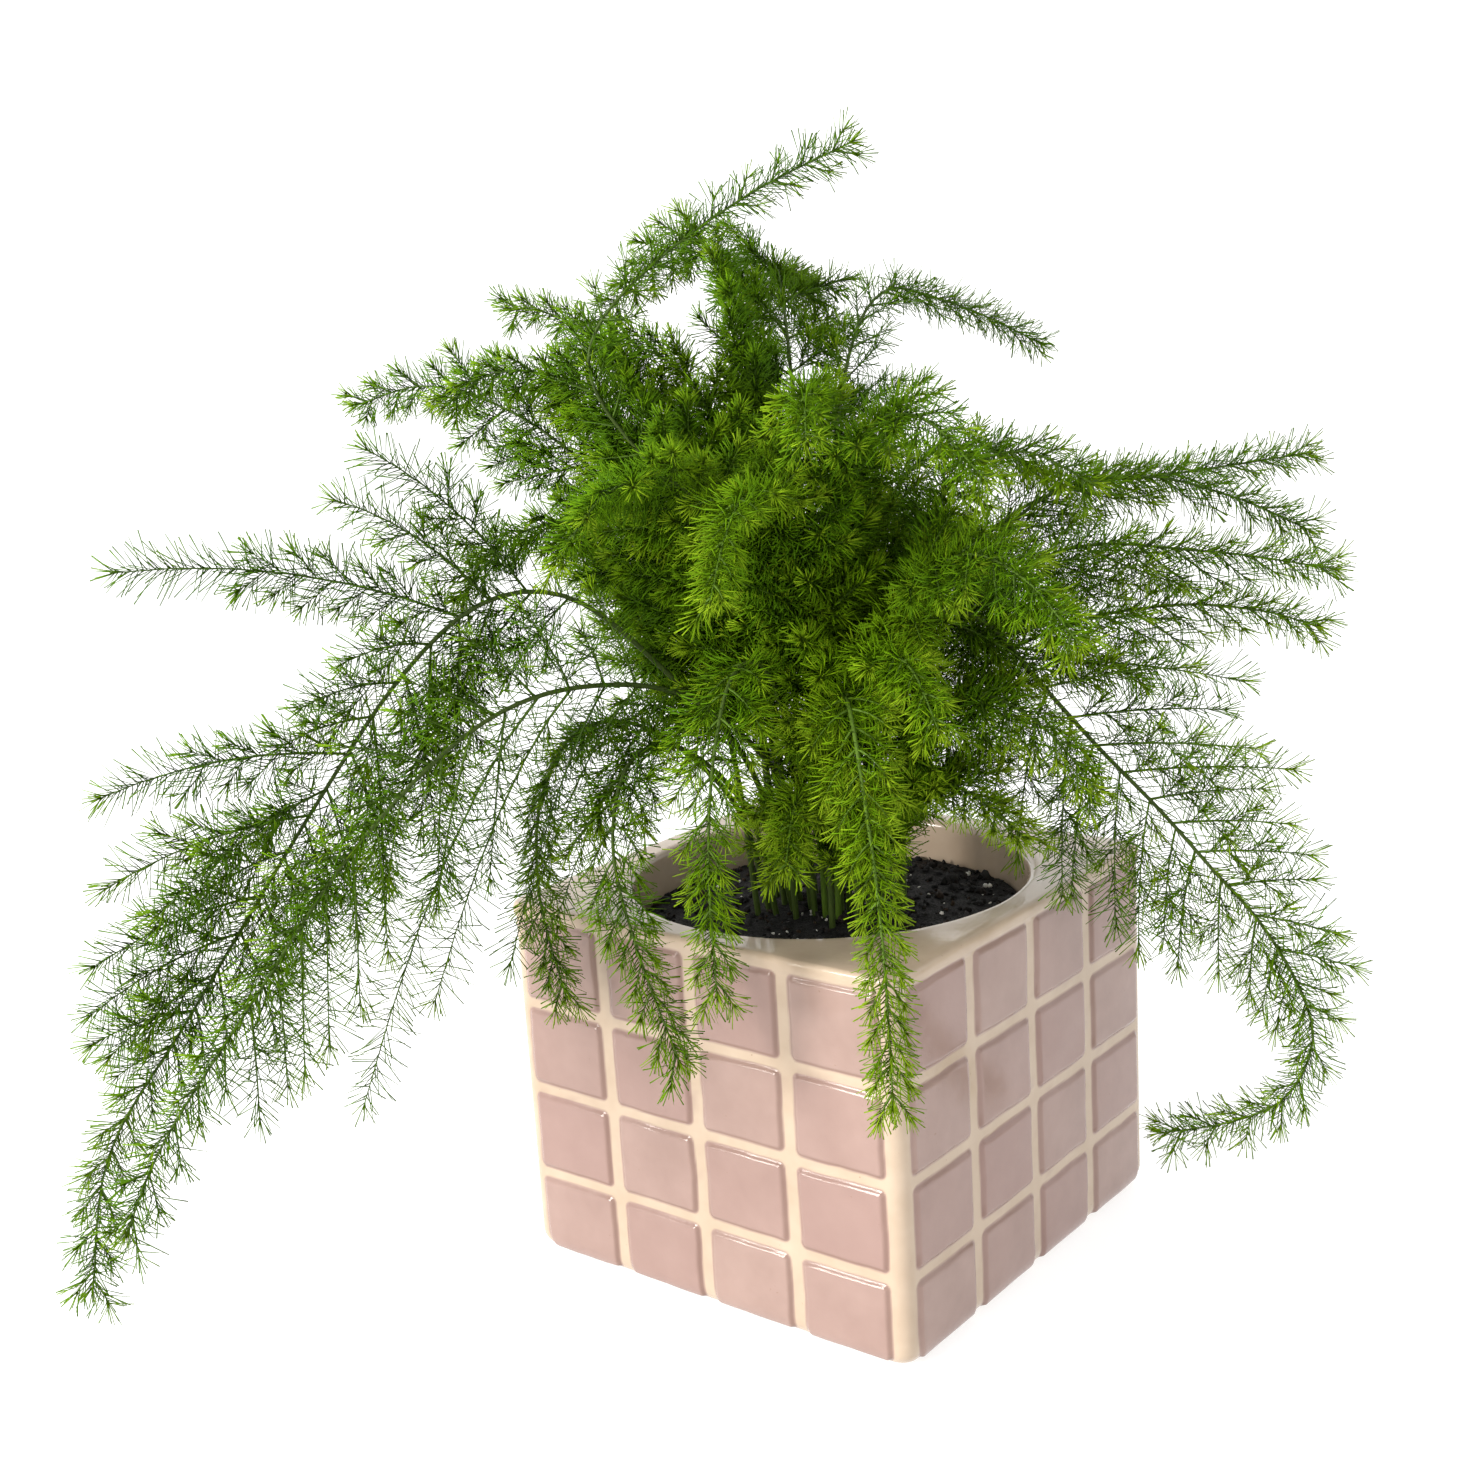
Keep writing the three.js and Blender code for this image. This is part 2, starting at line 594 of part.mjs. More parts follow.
const model = new THREE.Group();
function addPiece(name, solid, color, roughness) {
  const mesh = new THREE.Mesh(
    geometryOf(solid),
    new THREE.MeshStandardMaterial({ color, roughness, metalness: 0, flatShading: true }),
  );
  mesh.name = name;
  model.add(mesh);
}

addPiece("pot", joined([potBody(), ...tiles()]), 0xd9b3ae, 0.25);
addPiece("soil", holes.reduce((rest, hole) => rest.subtract(hole), soilPlug()), 0x1c1714, 0.95);
for (const { frond, centres, radii, pieces } of plants)
  addPiece(frond.name, joined([solidOf(tube(centres, radii, stem.sides)), ...pieces]), 0x4f8f1c,
    0.6);

export default model;
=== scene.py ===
import math

import bmesh
import bpy
import numpy as np
from mathutils import Matrix, Vector, noise


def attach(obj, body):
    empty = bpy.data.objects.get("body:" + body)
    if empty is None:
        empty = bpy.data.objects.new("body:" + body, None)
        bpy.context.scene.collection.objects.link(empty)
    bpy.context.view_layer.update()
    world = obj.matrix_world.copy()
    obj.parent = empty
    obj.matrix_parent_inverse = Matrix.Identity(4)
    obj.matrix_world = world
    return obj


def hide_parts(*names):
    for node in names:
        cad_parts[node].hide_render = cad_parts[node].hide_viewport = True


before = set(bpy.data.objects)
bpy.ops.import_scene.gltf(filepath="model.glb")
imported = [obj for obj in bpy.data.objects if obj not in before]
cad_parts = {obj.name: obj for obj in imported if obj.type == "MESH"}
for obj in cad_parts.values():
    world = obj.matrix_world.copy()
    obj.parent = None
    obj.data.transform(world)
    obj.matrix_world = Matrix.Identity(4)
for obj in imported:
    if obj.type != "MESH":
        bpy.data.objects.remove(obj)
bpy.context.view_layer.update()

# Potted lace fern (Asparagus setaceus): its looks. Sizes are in millimetres, as in the part's
# source, and MM turns them into Blender's metres when a mesh is made.
MM = 0.001
UP = np.array([0.0, 0.0, 1.0])
GOLDEN = math.radians(180 * (3 - math.sqrt(5)))

# Seeds of the growth rule, as in the part's source, and of what only the looks have.
GROWTH_SEED, NUMPY_SEED = 100, 300

# The materials' numbers on the pot, in the potting mix and on a frond.
GLAZE, BISCUIT = 0, 1
MIX, PERLITE = 0, 1
STALK, LEAF = 0, 1

# The camera that the pot's grout lines fit: its place, where it looks, and its focal length in
# pixels of the square photograph.
CAMERA = {
    "place": (216.9, -294.1, 187.4),
    "azimuth": 38.87,
    "elevation": 13.47,
    "roll": 3.48,
    "focal": 1950,
    "photo_side": 1484,
    "sensor": 36,
    "clip_start": 0.01,
}

# The studio, in metres and watts: soft discs of light that aim at the middle of the plant, and
# an even white world. The floor's own sizes are in millimetres.
LIGHTS = (
    dict(name="key", place=(-0.6, -1.4, 0.5), size=0.7, power=36, colour=(1, 0.96, 0.9)),
    dict(name="top", place=(-0.2, -0.1, 1.5), size=0.9, power=8, colour=(0.96, 0.98, 1)),
)
LIGHT_AIM = (0, 0, 0.0925)
WORLD_STRENGTH = 0.55
STAGE = {
    "rings": (20, 300, 700, 1400),
    "curve": 600,
    "curve_turns": np.radians(np.linspace(7.5, 90, 12)),
    "wall": 2600,
    "sides": 96,
    "below": 0.1,
    "glow": 0.72,
}

# Colours. A ramp is a row of stops, each a place between 0 and 1 and its colour.
COLOURS = {
    "pink": ((0.3, (0.272, 0.184, 0.158)), (0.7, (0.322, 0.224, 0.194))),
    "pink_shade": (0.265, 0.165, 0.148),
    # The tiles' edge band: the glaze's darker edge, and painted shade along the lower and right
    # edges.
    "pink_edge_and_painted_shade": (0.17, 0.09, 0.06),
    "cream": ((0.3, (0.41, 0.315, 0.232)), (0.7, (0.475, 0.375, 0.285))),
    "speck": (0.24, 0.15, 0.1),
    "biscuit": ((0.3, (0.5, 0.4, 0.3)), (0.7, (0.66, 0.56, 0.45))),
    "soil": ((0.3, (0.003, 0.003, 0.0035)), (0.75, (0.022, 0.02, 0.019))),
    "fibre": ((0.3, (0.012, 0.007, 0.004)), (0.75, (0.06, 0.035, 0.02))),
    "crumb": (0.045, 0.045, 0.048),
    "perlite": ((0.3, (0.42, 0.4, 0.36)), (0.65, (0.78, 0.76, 0.72))),
    "stem": ((0, (0.04, 0.09, 0.008)), (1, (0.14, 0.26, 0.015))),
    "bark": ((0.3, (0.03, 0.055, 0.008)), (0.7, (0.065, 0.1, 0.015))),
    "bark_dark": (0.02, 0.035, 0.006),
    "needle": (
        (0, (0.042, 0.1, 0.007)),
        (0.35, (0.072, 0.175, 0.002)),
        (0.7, (0.118, 0.25, 0.001)),
        (1, (0.26, 0.4, 0.012)),
    ),
    "needle_shade": (0.022, 0.06, 0.01),
    "needle_patch": (0.15, 0.25, 0.001),
    "needle_own": ((0, 0.75), (1, 1.0)),
    "floor": ((0.3, (0.44, 0.44, 0.437)), (0.7, (0.46, 0.46, 0.457))),
}

# The pot: half is the ceramic wall between the tiles, rim_top its flat glazed top, and
# extra_rows the heights of more rings, where the wall curves in at its foot and out at its rim.
POT = {
    "half": 44.4,
    "corner": 3,
    "corner_steps": 9,
    "foot": 4,
    "straight": 24,
    "rim_low": 70.4,
    "rim_slope": (-0.8, 0.6),
    "rim_out": 0.35,
    "rim_top": 73,
    "rim_edge": 1.1,
    "rim_parts": (0.2, 0.45, 0.7, 0.9, 1),
    "rim_waver": ((0.12, 0.12, 6),),
    "opening": 38.5,
    "lip": 1.3,
    "inside": (68.5, 65.5, 62.5, 40, 20),
    "floor": 9,
    "floor_curve": 3,
    "taper": 1.5,
    "extra_rows": (0.15, 0.4, 0.8, 1.4, 2.2, 3.0, 4.0, 70.7, 71.3),
}

# The tiles. Each waver or wave is layers of noise: height in mm, lumps in a mm and seed.
TILE = {
    "across": 21,
    "up": 17.7,
    "middle": 35.3,
    "grout_across": 2.5,
    "grout_up": 2.0,
    "edge": 41.2,
    "foot": 0.9,
    "top": 70.3,
    "proud": 0.6,
    "slope": 1.1,
    "round": 1.3,
    "crown": 0.12,
    "crown_reach": 8,
    "waver_across": ((0.3, 0.13, 1), (0.12, 0.5, 2)),
    "waver_up": ((0.3, 0.13, 3), (0.12, 0.5, 4)),
    "wave": ((0.07, 0.16, 5),),
    "side_step": 50.0,
    "pink": (-0.25, 0.15),
    # line is where the edge band rises and falls; faint is its strength away from the lower and
    # right edges, where it is painted shade at full strength.
    "line": ((-0.1, 0.3), (0.4, 1.3)),
    "band": 1.6,
    "faint": 0.25,
    "shades": 9,
    "marks": 7,
}
SLOPE_MARKS = np.array([-0.3, 0, 0.3, 0.6, 0.9, 1.2, TILE["band"]])
QUARTER = np.radians([22, 45, 68, 90])

# The potting mix: under is how far in and how high the two rings of its lower edge are, and
# clear is how high over its level the leaves stay. Crumbs have their number, their size in mm
# and how far they are drawn out.
SOIL = {
    "level": 64.5,
    "mound": 2.2,
    "radius": 37.7,
    "bottom": 9.3,
    "sides": 130,
    "rings": 48,
    "innermost": 0.02,
    "under": ((4.5, 0), (1.5, 3)),
    "lumps": ((0.55, 0.12, 7), (0.4, 0.35, 8)),
    "grain": ((0.3, 0.9, 9), (0.18, 2.1, 10)),
    "clear": 2.6,
    "seed": 5,
}
CRUMBS = (
    dict(count=900, size=(0.5, 1.3), stretch=(0.9, 1.5), look="dark"),
    dict(count=130, size=(1.3, 2.4), stretch=(0.9, 1.5), look="dark", fine=True),
    dict(count=70, size=(0.5, 0.9), stretch=(3, 7), look="bark", sink=0.1),
    dict(count=80, size=(0.3, 0.75), stretch=(0.9, 1.3), look="perlite", sink=0.1),
    dict(count=14, size=(0.9, 1.7), stretch=(0.9, 1.2), look="perlite", fine=True, sink=0.2),
)
CRUMB = {
    "within": 0.985,
    "clear": 0.2,
    "deep": (0.7, 1),
    "high": (0.6, 1),
    "uneven": 0.22,
    "spin": 6.28,
    "rise": 0.6,
}

# Stems: bark and young are the shares of the length, and the youth, over which the bark fades.
# tuft and sparse are how full the needles on the stem itself are, at its tip and below.
STEM = {
    "root": 0.62,
    "tip": 0.15,
    "sides": 8,
    "rings": 60,
    "buried": 8,
    "step": 0.05,
    "bark": (0.55, 1),
    "young": (0.4, 0.8),
    "young_bark": 0.8,
    "shade": 0.5,
    "tuft": 1.4,
    "tuft_youth": 0.1,
    "sparse": 0.4,
}

# Branches: vary, lean and turn are how far the length, the angle and the roll of each differ
# from the rule. near is the length of the first, as a share, and the stretch that it grows over.
BRANCH = {
    "root": 0.25,
    "tip": 0.09,
    "sides": 4,
    "rings": 7,
    "angle": 60,
    "shortest": 4,
    "between": 0.85,
    "uneven": 0.4,
    "vary": 0.3,
    "lean": 14,
    "turn": 44,
    "near": (0.45, 0.3),
    "closing": 12,
    "curl": 0.1,
    "forward": 0.12,
    "youth": 0.08,
    "woody": 0.15,
    "bare": (0.3, 2),
    "fewest": 4,
}

# Twigs: from and reach are where they stand on a branch, in mm and as a share of its length.
TWIG = {
    "root": 0.14,
    "tip": 0.07,
    "sides": 3,
    "rings": 3,
    "from": 2,
    "from_vary": 1.5,
    "reach": 0.6,
    "gap": 2.8,
    "gap_vary": (0.8, 1.2),
    "share": 0.42,
    "share_vary": (0.7, 1.1),
    "longest": 7.5,
    "longest_full": 12.5,
    "shortest": 2.5,
    "angle": 50,
    "angle_vary": 5,
    "tilt": 24,
    "curl": 0.1,
    "forward": 0.16,
    "droop": 0.06,
    "bare": 0.12,
    "older": 0.03,
}

# Needles: crowded is the fullness from which the clump's middle has shorter, wider needles, and
# tip is how far from a branch's tip, in mm, they start to close up.
NEEDLE = {
    "length": 6.8,
    "length_vary": (0.7, 1.05),
    "width": 0.215,
    "width_vary": (0.85, 1.15),
    "gap": 0.168,
    "densest": 1.45,
    "fewest": 6,
    "at_tip": 6,
    "tip_place": 0.995,
    "tip": 5,
    "angle": 60,
    "angle_vary": 12,
    "close": 26,
    "turn_vary": 0.35,
    "turn_start": 6,
    "tip_shorter": 0.35,
    "tip_youth": 0.45,
    "tone_vary": 0.07,
    "crowded": (0.9, 1.1),
    "crowded_shorter": 0.2,
    "crowded_wider": 0.06,
    "clear": 0.25,
}

# Leaves low on the stems in the middle of the clump.
TRUNK = {"points": 30, "full": 0.7, "twigs": 0.8, "shade": 0.6, "turns": (0, 80)}
CLEAR = 0.3

# Fronds, as in the part's source: each grows in an upright plane through the pot's axis.
#   full     how full of needles and twigs it is, 1 where not given
#   low      in the middle of the clump, where leaves start on the lower stem
#   heading  the plane's direction in degrees, and swing how far it turns along the stem
#   bare     the share of the stem below the branches, and count the number of main branches
#   spread   the longest branches on its two sides, in mm
#   fade     where along the leafy stretch the branches end, and how soon they grow shorter
#   trim     the lengths of single branches, by number, as a share of the rule's
#   angle    between a branch and the stem, where it isn't BRANCH["angle"]
#   roll     how far the spray of branches is turned about its stem, in degrees
#   sag      how far the branches on the two sides hang down, as a share of their length
#   youth    how yellow-green the needles are
#   arch     the reach and the height over the soil's edge, in mm, along the stem
FRONDS = [
    dict(name="frond_left_long", full=0.9, heading=245, bare=0.34, count=22, spread=(66, 33),
         fade=(0.74, 0.55), trim={3: 1.2, 5: 0.4, 7: 1.05, 9: 0.85}, roll=78, sag=(0.13, 0.35),
         youth=0.25, arch=((8, 0), (16, 32), (34, 55), (50, 69), (66, 70), (82, 59), (100, 38),
         (124, 7), (140, -14), (146, -38))),
    dict(name="frond_left_low", full=0.58, heading=257, bare=0.3, count=20, spread=(30, 56),
         fade=(0.85, 0.9), trim={2: 0.9, 4: 1.2, 6: 0.5, 8: 0.5, 10: 0.8}, roll=72, sag=(0, 0.75),
         youth=0.32, arch=((5, 0), (9, 26), (30, 48), (54, 55), (76, 52), (100, 37), (122, 15),
         (138, -2), (146, -15))),
    dict(name="frond_left_high", full=1.25, heading=200, bare=0.25, count=18, spread=(46, 46),
         roll=70, sag=(0, 0.15), youth=0.27, arch=((6, 0), (13, 38), (30, 73), (54, 96), (76, 105),
         (94, 102))),
    dict(name="frond_left_back", full=1.6, heading=182, bare=0.28, count=18, spread=(36, 44),
         roll=50, sag=(0, 0.2), youth=0.27, arch=((9, 0), (14, 43), (26, 83), (45, 108), (60, 117),
         (73, 119))),
    dict(name="frond_top", full=0.55, heading=222, bare=0.45, count=15, spread=(11, 12), roll=70,
         sag=(0, 0), youth=0.25, arch=((3, 0), (8, 38), (24, 80), (38, 102), (38, 114), (26, 126),
         (8, 137), (-11, 145))),
    dict(name="frond_back_right", full=0.55, heading=120, swing=-30, bare=0.45, count=15,
         spread=(9, 18), angle=42, roll=60, sag=(0, 0.05), youth=0.22, arch=((4, 0), (9, 48),
         (18, 86), (30, 109), (43, 118), (58, 116), (74, 111), (88, 104))),
    dict(name="frond_back_left", full=1.55, heading=148, swing=18, bare=0.32, count=18,
         spread=(30, 34), roll=50, sag=(0, 0.2), youth=0.27, arch=((10, 0), (14, 50), (21, 94),
         (28, 119), (35, 129), (45, 129), (58, 122), (70, 113))),
    dict(name="frond_back", full=1.35, heading=132, bare=0.3, count=17, spread=(40, 44), roll=25,
         sag=(0.1, 0.2), youth=0.28, arch=((7, 0), (12, 48), (22, 90), (38, 118), (54, 124),
         (72, 114), (88, 96))),
    dict(name="frond_right_high", full=0.62, heading=46, bare=0.35, count=15, spread=(9, 21),
         angle=42, roll=65, sag=(0, 0), youth=0.38, arch=((5, 0), (10, 33), (22, 59), (36, 74),
         (52, 80), (72, 81), (98, 83))),
    dict(name="frond_right_back", full=0.65, heading=37, bare=0.3, count=15, spread=(11, 26),
         angle=45, roll=70, sag=(0, 0.1), youth=0.35, arch=((13, 0), (17, 36), (29, 65), (45, 80),
         (62, 82), (79, 77), (93, 70))),
    dict(name="frond_right_mid", full=0.68, heading=28, bare=0.25, count=16, spread=(14, 46),
         angle=45, roll=70, sag=(0, 0), youth=0.4, arch=((9, 0), (14, 30), (24, 55), (46, 70),
         (72, 69), (95, 65))),
    dict(name="frond_right_long", full=0.78, heading=13, bare=0.28, count=22, spread=(46, 38),
         fade=(0.76, 0.8), roll=76, sag=(0, 0.3), youth=0.42, arch=((6, 0), (13, 38), (24, 59),
         (34, 58), (43, 48), (54, 36), (65, 25), (74, 15), (83, 5), (90, -7), (92, -17), (87, -28),
         (77, -34), (64, -38))),
    dict(name="frond_front_drop", full=1.1, heading=313, bare=0.2, count=24, spread=(15, 15),
         roll=15, sag=(0.3, 0.3), youth=0.66, arch=((10, 0), (13, 26), (24, 46), (40, 50),
         (55, 37), (65, 24), (70, 10), (72, -10))),
    dict(name="frond_front_left_drop", low=0.12, heading=281, swing=7, bare=0.48, count=12,
         spread=(14, 14), roll=15, sag=(0.3, 0.3), youth=0.5, arch=((7.5, 0), (11, 28), (24, 53),
         (40, 56), (52, 45), (60, 28), (63, 6))),
    dict(name="frond_front_left_hang", heading=240, swing=43, bare=0.42, count=14, spread=(15, 15),
         roll=20, sag=(0.3, 0.3), youth=0.35, arch=((11.5, 0), (17, 23), (32, 39), (48, 41),
         (60, 30), (65, 14), (67, -5))),
    dict(name="frond_left_hang", heading=226, swing=22, bare=0.3, count=16, spread=(14, 14),
         roll=20, sag=(0.3, 0.3), youth=0.45, arch=((12, 0), (18, 24), (34, 41), (48, 43),
         (57, 32), (60, 15), (58, -4))),
    dict(name="frond_right_short", full=1.0, low=0.1, heading=350, bare=0.2, count=15,
         spread=(26, 26), roll=10, sag=(0, 0), youth=0.66, arch=((10, 0), (14, 18), (26, 30),
         (38, 30), (50, 24))),
    dict(name="frond_front_short", full=1.05, heading=298, bare=0.15, count=14, spread=(24, 24),
         roll=15, sag=(0.2, 0.2), youth=0.66, arch=((8.5, 0), (12, 18), (25, 31), (39, 32),
         (52, 25))),
    dict(name="frond_crown_front", full=1.02, heading=326, bare=0.12, count=16, spread=(26, 26),
         roll=20, sag=(0.25, 0.25), youth=0.5, arch=((14, 0), (16, 24), (22, 44), (32, 56),
         (45, 57), (57, 48))),
    dict(name="frond_crown_right", full=1.02, low=0.1, heading=358, bare=0.15, count=16,
         spread=(28, 28), roll=25, sag=(0.2, 0.3), youth=0.5, arch=((12, 0), (15, 22), (24, 40),
         (37, 47), (50, 42), (60, 32))),
    dict(name="frond_crown_left", full=1.55, heading=236, bare=0.28, count=17, spread=(34, 34),
         roll=40, sag=(0.15, 0.25), youth=0.4, arch=((15, 0), (19, 38), (29, 66), (42, 80),
         (56, 80), (67, 70))),
    dict(name="frond_crown_top", full=1.3, low=0.14, heading=306, bare=0.35, count=16,
         spread=(32, 32), roll=30, sag=(0.1, 0.2), youth=0.4, arch=((15, 0), (15, 43), (17, 80),
         (25, 99), (37, 103), (49, 96))),
    dict(name="frond_back_crown", full=1.7, heading=190, bare=0.4, count=17, spread=(30, 30),
         roll=45, sag=(0.1, 0.15), youth=0.32, arch=((12, 0), (14, 46), (17, 84), (23, 102),
         (34, 110), (46, 110), (56, 103))),
    dict(name="frond_left_crown", full=1.7, heading=215, bare=0.35, count=17, spread=(32, 38),
         roll=50, sag=(0.1, 0.2), youth=0.34, arch=((9, 0), (13, 43), (24, 83), (40, 103),
         (56, 108), (68, 102))),
    dict(name="frond_right_crown", full=1.1, heading=60, swing=-20, bare=0.35, count=15,
         spread=(24, 26), roll=15, sag=(0.1, 0.2), youth=0.3, arch=((9, 0), (9, 42), (12, 71),
         (20, 86), (32, 89), (44, 83))),
    dict(name="frond_right_shoulder", full=1.02, low=0.1, heading=6, bare=0.28, count=17,
         spread=(30, 32), roll=45, sag=(0.05, 0.2), youth=0.44, arch=((16, 0), (17, 38), (21, 68),
         (30, 85), (43, 90), (57, 84))),
    dict(name="frond_right_low", full=0.68, heading=22, swing=11, bare=0.35, count=14,
         spread=(12, 26), angle=45, roll=70, sag=(0, 0.1), youth=0.5, arch=((13, 0), (17, 26),
         (28, 46), (46, 56), (66, 59), (82, 57), (93, 53))),
    dict(name="frond_front", full=1.0, low=0.14, heading=292, bare=0.2, count=19, spread=(38, 38),
         roll=20, sag=(0.25, 0.2), youth=0.46, arch=((4.5, 0), (8, 38), (17, 68), (31, 84),
         (45, 87), (57, 82), (67, 73))),
    dict(name="frond_front_high", full=1.02, low=0.12, heading=322, swing=14, bare=0.25, count=18,
         spread=(40, 40), roll=30, sag=(0.1, 0.2), youth=0.45, arch=((6.5, 0), (8.5, 43), (14, 76),
         (26, 95), (42, 98), (58, 88))),
    dict(name="frond_right_front", full=0.98, low=0.12, heading=342, bare=0.2, count=18,
         spread=(36, 38), roll=35, sag=(0.1, 0.3), youth=0.46, arch=((5.5, 0), (9, 36), (23, 62),
         (42, 74), (58, 72), (72, 62))),
    dict(name="frond_left_front", full=1.35, heading=268, bare=0.28, count=18, spread=(40, 42),
         roll=30, sag=(0.1, 0.2), youth=0.38, arch=((11, 0), (14, 38), (22, 72), (38, 89),
         (54, 89), (68, 79))),
    dict(name="frond_rear_left", heading=160, bare=0.25, count=16, spread=(42, 44), roll=20,
         sag=(0.3, 0.3), youth=0.25, arch=((5, 0), (14, 42), (30, 74), (52, 86), (76, 77),
         (95, 54))),
    dict(name="frond_rear", heading=100, bare=0.25, count=16, spread=(42, 44), roll=20,
         sag=(0.35, 0.35), youth=0.25, arch=((10, 0), (17, 34), (34, 62), (56, 70), (78, 58),
         (95, 34))),
]


# Small helpers for directions, noise and rings of points


def unit(vectors):
    vectors = np.asarray(vectors, float)
    return vectors / np.maximum(np.linalg.norm(vectors, axis=-1, keepdims=True), 1e-12)


def side_of(direction):
    """A direction square to this one, level where it can be."""
    side = np.cross(direction, UP)
    return unit(side) if side @ side > 1e-4 else np.array([1.0, 0.0, 0.0])


def rotated(vector, axis, degrees):
    turn = math.radians(degrees)
    return (vector * math.cos(turn) + np.cross(axis, vector) * math.sin(turn)
            + axis * (axis @ vector) * (1 - math.cos(turn)))


def smooth(low, high, value):
    part = np.clip((value - low) / (high - low), 0, 1)
    return part * part * (3 - 2 * part)


def seeded(seed):
    """The part's source draws the same numbers between 0 and 1 from the same seed."""
    state = seed

    def draw():
        nonlocal state
        state = (state + 0x6D2B79F5) & 0xFFFFFFFF
        mixed = ((state ^ (state >> 15)) * (state | 1)) & 0xFFFFFFFF
        mixed ^= (mixed + ((mixed ^ (mixed >> 7)) * (mixed | 61) & 0xFFFFFFFF)) & 0xFFFFFFFF
        return (mixed ^ (mixed >> 14)) / 4294967296

    return draw


def rough(points, scale, seed):
    """Smooth noise between about -1 and 1 at each point, with lumps about 1 / scale wide."""
    shift = Vector((seed * 17.3, seed * 5.1, seed * 9.7))
    return np.array([noise.noise(Vector(point) * scale + shift) for point in points])


def relief(points, layers, base=0):
    """The base with layers of noise on it: height in mm, lumps in a mm and seed of each."""
    return sum((size * rough(points, scale, seed) for size, scale, seed in layers), base)


def round_rows(sides):
    """The numbers of a ring's points, and of the one after each."""
    start = np.arange(sides)
    return start, (start + 1) % sides


def fan(start, end, middle):
    """Triangles from a ring's points to one in the middle."""
    return np.stack([start, end, np.full(len(start), middle)], -1)


def round_places(sides):
    """Cosines and sines of even turns, one for each point of a ring."""
    turn = np.arange(sides) * 2 * math.pi / sides
    return np.cos(turn), np.sin(turn)


# Meshes


class Shape:
    """A mesh gathered bit by bit: points in mm, triangles, a tint for each point and the number
    of its material for each triangle."""

    def __init__(self):
        self.points, self.triangles, self.tints, self.kinds = [], [], [], []
        self.count = 0

    def add(self, points, triangles, tint, kind=0):
        points = np.asarray(points, float).reshape(-1, 3)
        self.points.append(points)
        self.tints.append(np.broadcast_to(tint, (len(points), 3)))
        self.add_faces(np.asarray(triangles, int).reshape(-1, 3) + self.count, kind)
        self.count += len(points)

    def add_faces(self, triangles, kind):
        """Triangles between points that are already there."""
        self.triangles.append(triangles)
        self.kinds.append(np.full(len(triangles), kind))

    def build(self, name, materials):
        points = np.concatenate(self.points) * MM
        triangles = np.concatenate(self.triangles)
        mesh = bpy.data.meshes.new(name)
        mesh.vertices.add(len(points))
        mesh.vertices.foreach_set("co", points.ravel())
        mesh.loops.add(triangles.size)
        mesh.loops.foreach_set("vertex_index", triangles.ravel())
        mesh.polygons.add(len(triangles))
        mesh.polygons.foreach_set("loop_start", np.arange(0, triangles.size, 3))
        mesh.polygons.foreach_set("use_smooth", np.ones(len(triangles), bool))
        mesh.polygons.foreach_set("material_index", np.concatenate(self.kinds))
        tint = np.ones((len(points), 4))
        tint[:, :3] = np.concatenate(self.tints)
        layer = mesh.attributes.new("tint", "FLOAT_COLOR", "POINT")
        layer.data.foreach_set("color", tint.ravel())
        for material in materials:
            mesh.materials.append(material)
        mesh.update(calc_edges=True)
        mesh.validate()
        piece = bpy.data.objects.new(name, mesh)
        bpy.context.scene.collection.objects.link(piece)
        return piece


def ring_faces(rings, sides):
    """Triangles of a closed band of rings, each with so many points, facing out where the points
    run anticlockwise as seen from the last ring."""
    ring, side = np.meshgrid(np.arange(rings - 1), np.arange(sides), indexing="ij")
    after = (side + 1) % sides
    a, b = ring * sides + side, ring * sides + after
    c, d = a + sides, b + sides
    return np.stack([a, b, d, a, d, c], -1).reshape(-1, 3)


def add_tube(shape, centres, size, radii, tint):
    """A closed tube through the centres, flat at its root and pointed at its tip."""
    centres, sides = np.asarray(centres, float), size["sides"]
    tangents = unit(np.gradient(centres, axis=0))
    normal = side_of(tangents[0])
    normals = []
    for tangent in tangents:
        normal = unit(normal - tangent * (normal @ tangent))
        normals.append(normal)
    normals = np.array(normals)
    across = np.cross(tangents, normals)
    cos, sin = round_places(sides)
    spokes = (normals[:, None] * cos[None, :, None]
              + across[:, None] * sin[None, :, None])
    rings = centres[:, None] + spokes * np.asarray(radii)[:, None, None]
    tip = centres[-1] + tangents[-1] * radii[-1] * 2
    points = np.concatenate([rings.reshape(-1, 3), [centres[0], tip]])
    root, last = len(points) - 2, len(points) - 1
    start, end = round_rows(sides)
    top = (len(centres) - 1) * sides
    caps = [fan(end, start, root), fan(top + start, top + end, last)]
    shape.add(points, np.concatenate([ring_faces(len(centres), sides), *caps]), tint, STALK)


# Materials: each is one Principled shader with its colour from nodes, and on most its roughness or
# bump too


def new_material(name):
    material = bpy.data.materials.new(name)
    material.use_nodes = True
    tree = material.node_tree
    return material, tree, tree.nodes["Principled BSDF"]


def add_node(tree, kind, settings=(), **values):
    """A new node with its settings, and its inputs set or linked by name or number."""
    node = tree.nodes.new(kind)
    for name, value in dict(settings).items():
        setattr(node, name, value)
    for name, value in values.items():
        socket = node.inputs[int(name[1:]) if name[0] == "_" else name.replace("_", " ")]
        if isinstance(value, bpy.types.NodeSocket):
            tree.links.new(value, socket)
        else:
            socket.default_value = value
    return node


def noise_node(tree, scale, detail, roughness=0.5, stretch=(1, 1, 1)):
    """Noise in the object's own millimetres: scale is in lumps per millimetre."""
    where = add_node(tree, "ShaderNodeTexCoord").outputs["Object"]
    sized = add_node(tree, "ShaderNodeMapping", _0=where,
                     Scale=[scale / MM * part for part in stretch])
    return add_node(tree, "ShaderNodeTexNoise", Vector=sized.outputs[0], Scale=1.0,
                    Detail=detail, Roughness=roughness).outputs["Fac"]


